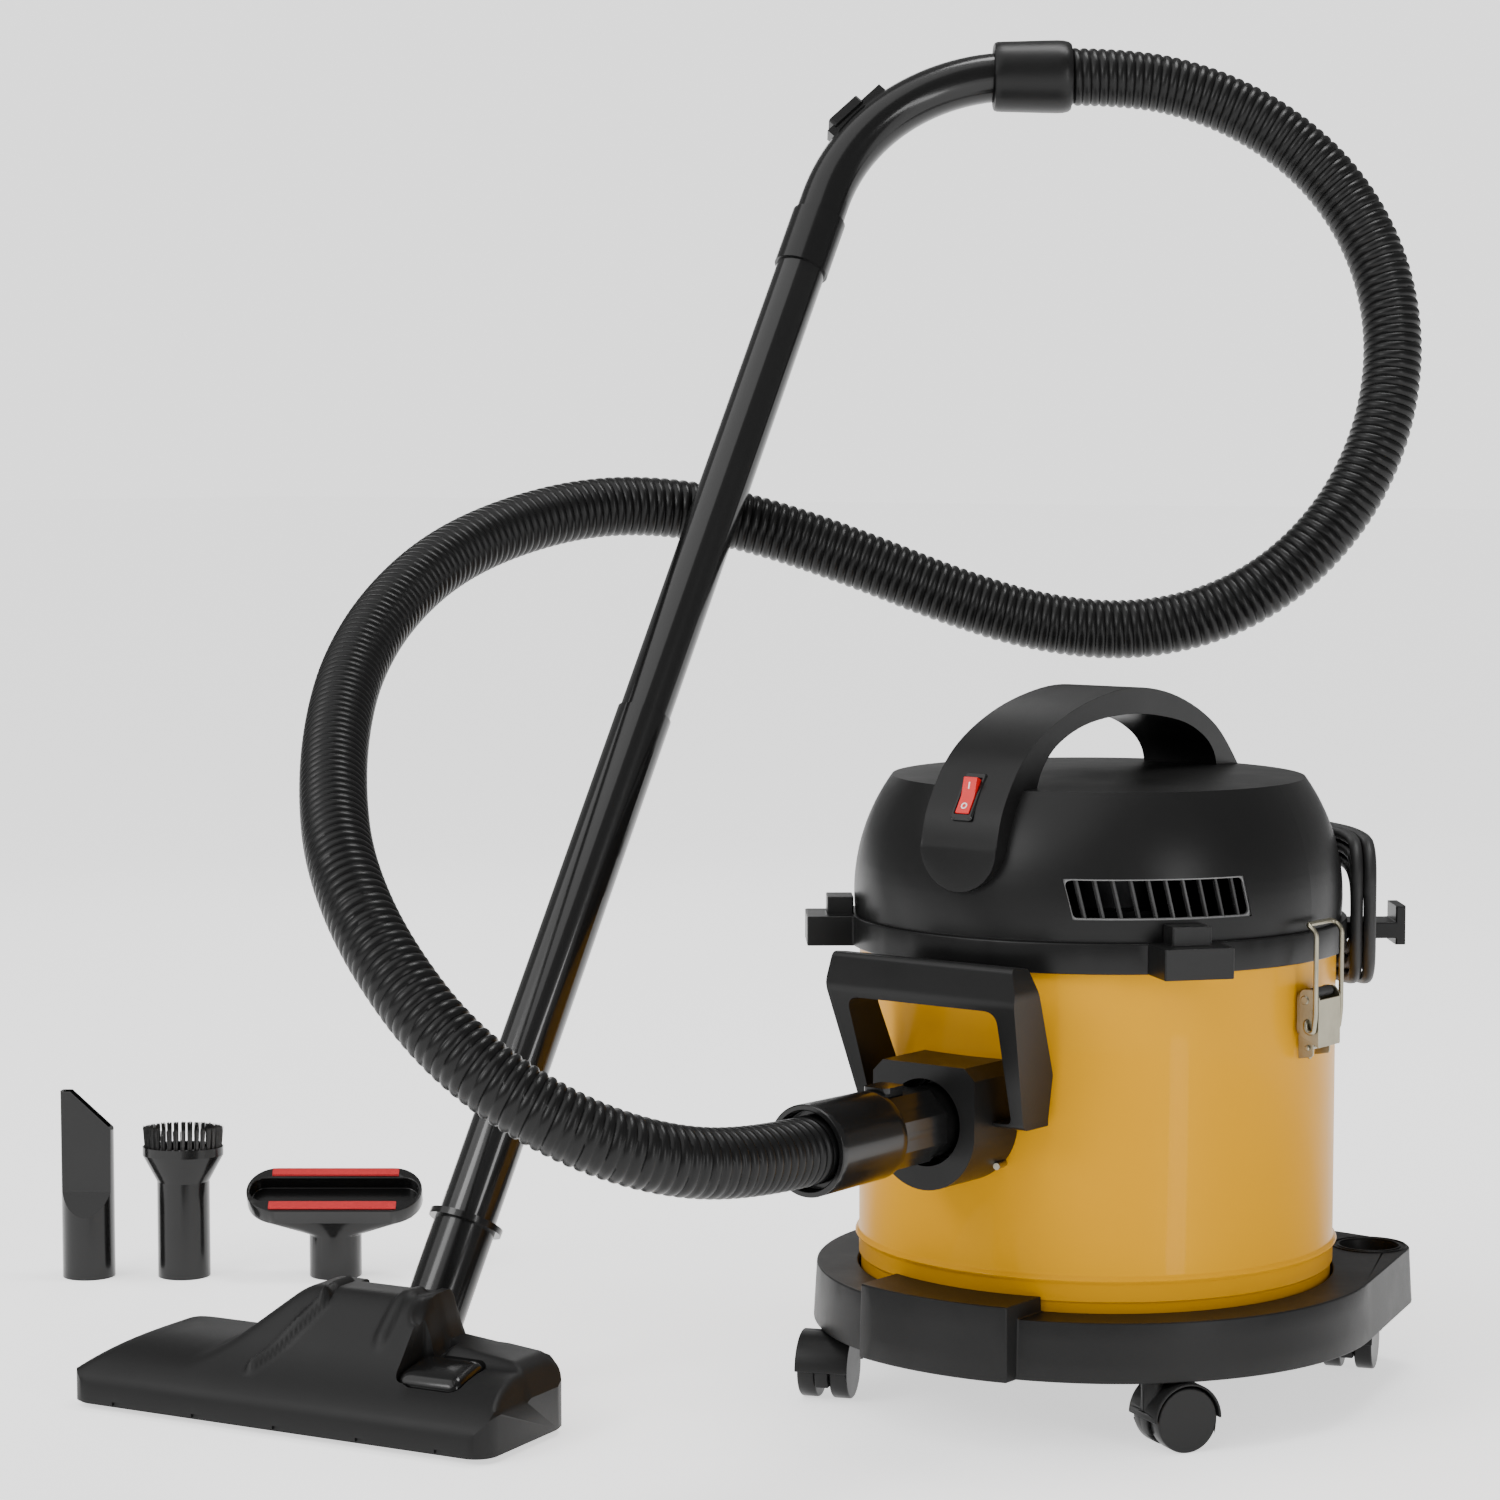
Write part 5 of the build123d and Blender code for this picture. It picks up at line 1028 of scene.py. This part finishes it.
switchPlace = frameOf(switch["at"], (0, -math.cos(tilt), math.sin(tilt)), (1, 0, 0))
points, faces = hoop([[put(switchPlace, x, y, height) for x, y in roundRect(width, length, corner)]
                      for width, length, corner, height in switch["bezel"]])
meshPiece("switchBezel", points, faces, glossBlack, switch["body"], ["switch_bezel"],
          smooth=25)

rockerSide = (switchPlace[0], switchPlace[2], switchPlace[3], switchPlace[1])
leanCos, leanSin = math.cos(math.radians(switch["lean"])), math.sin(math.radians(switch["lean"]))


def leaned(y, z):
    # the lower half is pressed in
    return y * leanCos - z * leanSin, y * leanSin + z * leanCos


points, faces = prism([leaned(y, z) for y, z in switch["rocker"]], -switch["rockerHalf"],
                      switch["rockerHalf"], rockerSide)
meshPiece("switchRocker", points, faces, switchRed, switch["rockerBody"], ["switch_rocker"],
          bevel=0.5)


def onRocker(u, v, lift):
    # u across, v along the rocker, lift above its two slopes
    return put(switchPlace, u, *leaned(v, switch["saddle"] + switch["slope"] * abs(v) + lift))


low, high = switch["markLow"], switch["markHigh"]
lineMark = [[onRocker(u, v, lift) for u, v in switch["line"]] for lift in (low, high)]
inner, outer = switch["ring"]
ringMark = []
for radius, lift in [(inner, low), (inner, high), (outer, high), (outer, low)]:
    ringMark.append([onRocker(radius * math.cos(k * math.pi / 16),
                              switch["ringAt"] + radius * math.sin(k * math.pi / 16), lift)
                     for k in range(32)])
points, faces = joined(loft(lineMark), hoop(ringMark))
meshPiece("switchMarks", points, faces, markWhite, switch["rockerBody"], smooth=30)
print("switch made")


# dusting brush: two oval rows of tufts
random.seed(7)
brush = {
    "at": (-664, -131, 0), "along": (0.6088, 0.7934), "headTop": 91, "length": 14.0, "trim": 0.9,
    "flare": 0.05,
    "rows": [(25.6, 17.6, 34), (22.6, 15.2, 30)],   # half width, half depth, tufts
    "hairs": 15, "tuft": 1.35, "hair": ((0, 0.3), (0.5, 0.28), (1, 0.2)), "body": "dusting_brush",
}
brushTurn = math.atan2(*brush["along"])
brushPlace = (Vector(brush["at"]), Vector((math.cos(brushTurn), math.sin(brushTurn), 0)),
              Vector((-math.sin(brushTurn), math.cos(brushTurn), 0)), Vector((0, 0, 1)))
parts = []
for halfWidth, halfDepth, count in brush["rows"]:
    for index in range(count):
        angle = 2 * math.pi * index / count
        tuftX, tuftY = halfWidth * math.cos(angle), halfDepth * math.sin(angle)
        for hair in range(brush["hairs"]):
            spin, far = random.uniform(0, 2 * math.pi), brush["tuft"] * math.sqrt(random.random())
            x, y = tuftX + far * math.cos(spin), tuftY + far * math.sin(spin)
            flare = brush["flare"] * random.random()
            foot = brush["headTop"] - 1
            tip = brush["headTop"] + brush["length"] - random.uniform(0, brush["trim"])
            rings = []
            for t, thick in brush["hair"]:
                hairX, hairY = x * (1 + flare * t) + far * 0.3 * t * math.cos(spin), y * (1 + flare * t)
                rings.append([put(brushPlace, hairX + thick * math.cos(k * 2 * math.pi / 3),
                                  hairY + thick * math.sin(k * 2 * math.pi / 3), foot + (tip - foot) * t)
                              for k in range(3)])
            parts.append(loft(rings))
points, faces = joined(*parts)
meshPiece("brushTufts", points, faces, bristleHair, brush["body"], ["brush_bristles"], smooth=60)
print("brush made")


# floor; its glow brings it up to the backdrop
floor = {"half": 30, "glow": 1.12}   # in metres
floorMesh = bpy.data.meshes.new("floor")
floorMesh.from_pydata([(sideX * floor["half"], sideY * floor["half"], 0)
                       for sideX, sideY in ((-1, -1), (1, -1), (1, 1), (-1, 1))], [], [(0, 1, 2, 3)])
floorFinish = Finish("floorPaper", {"Specular IOR Level": 0.2, "Emission Color": (1, 1, 1, 1),
                                    "Emission Strength": floor["glow"]})
floorTone = floorFinish.noise(6, 3, 0.5)
floorFinish.set("Base Color", floorFinish.mix(floorTone, grey(0.90), grey(0.92)))
floorFinish.set("Roughness", 0.75 + floorTone * 0.1)
floorMesh.materials.append(floorFinish.material)
floorPiece = bpy.data.objects.new("floor", floorMesh)
scene.collection.objects.link(floorPiece)
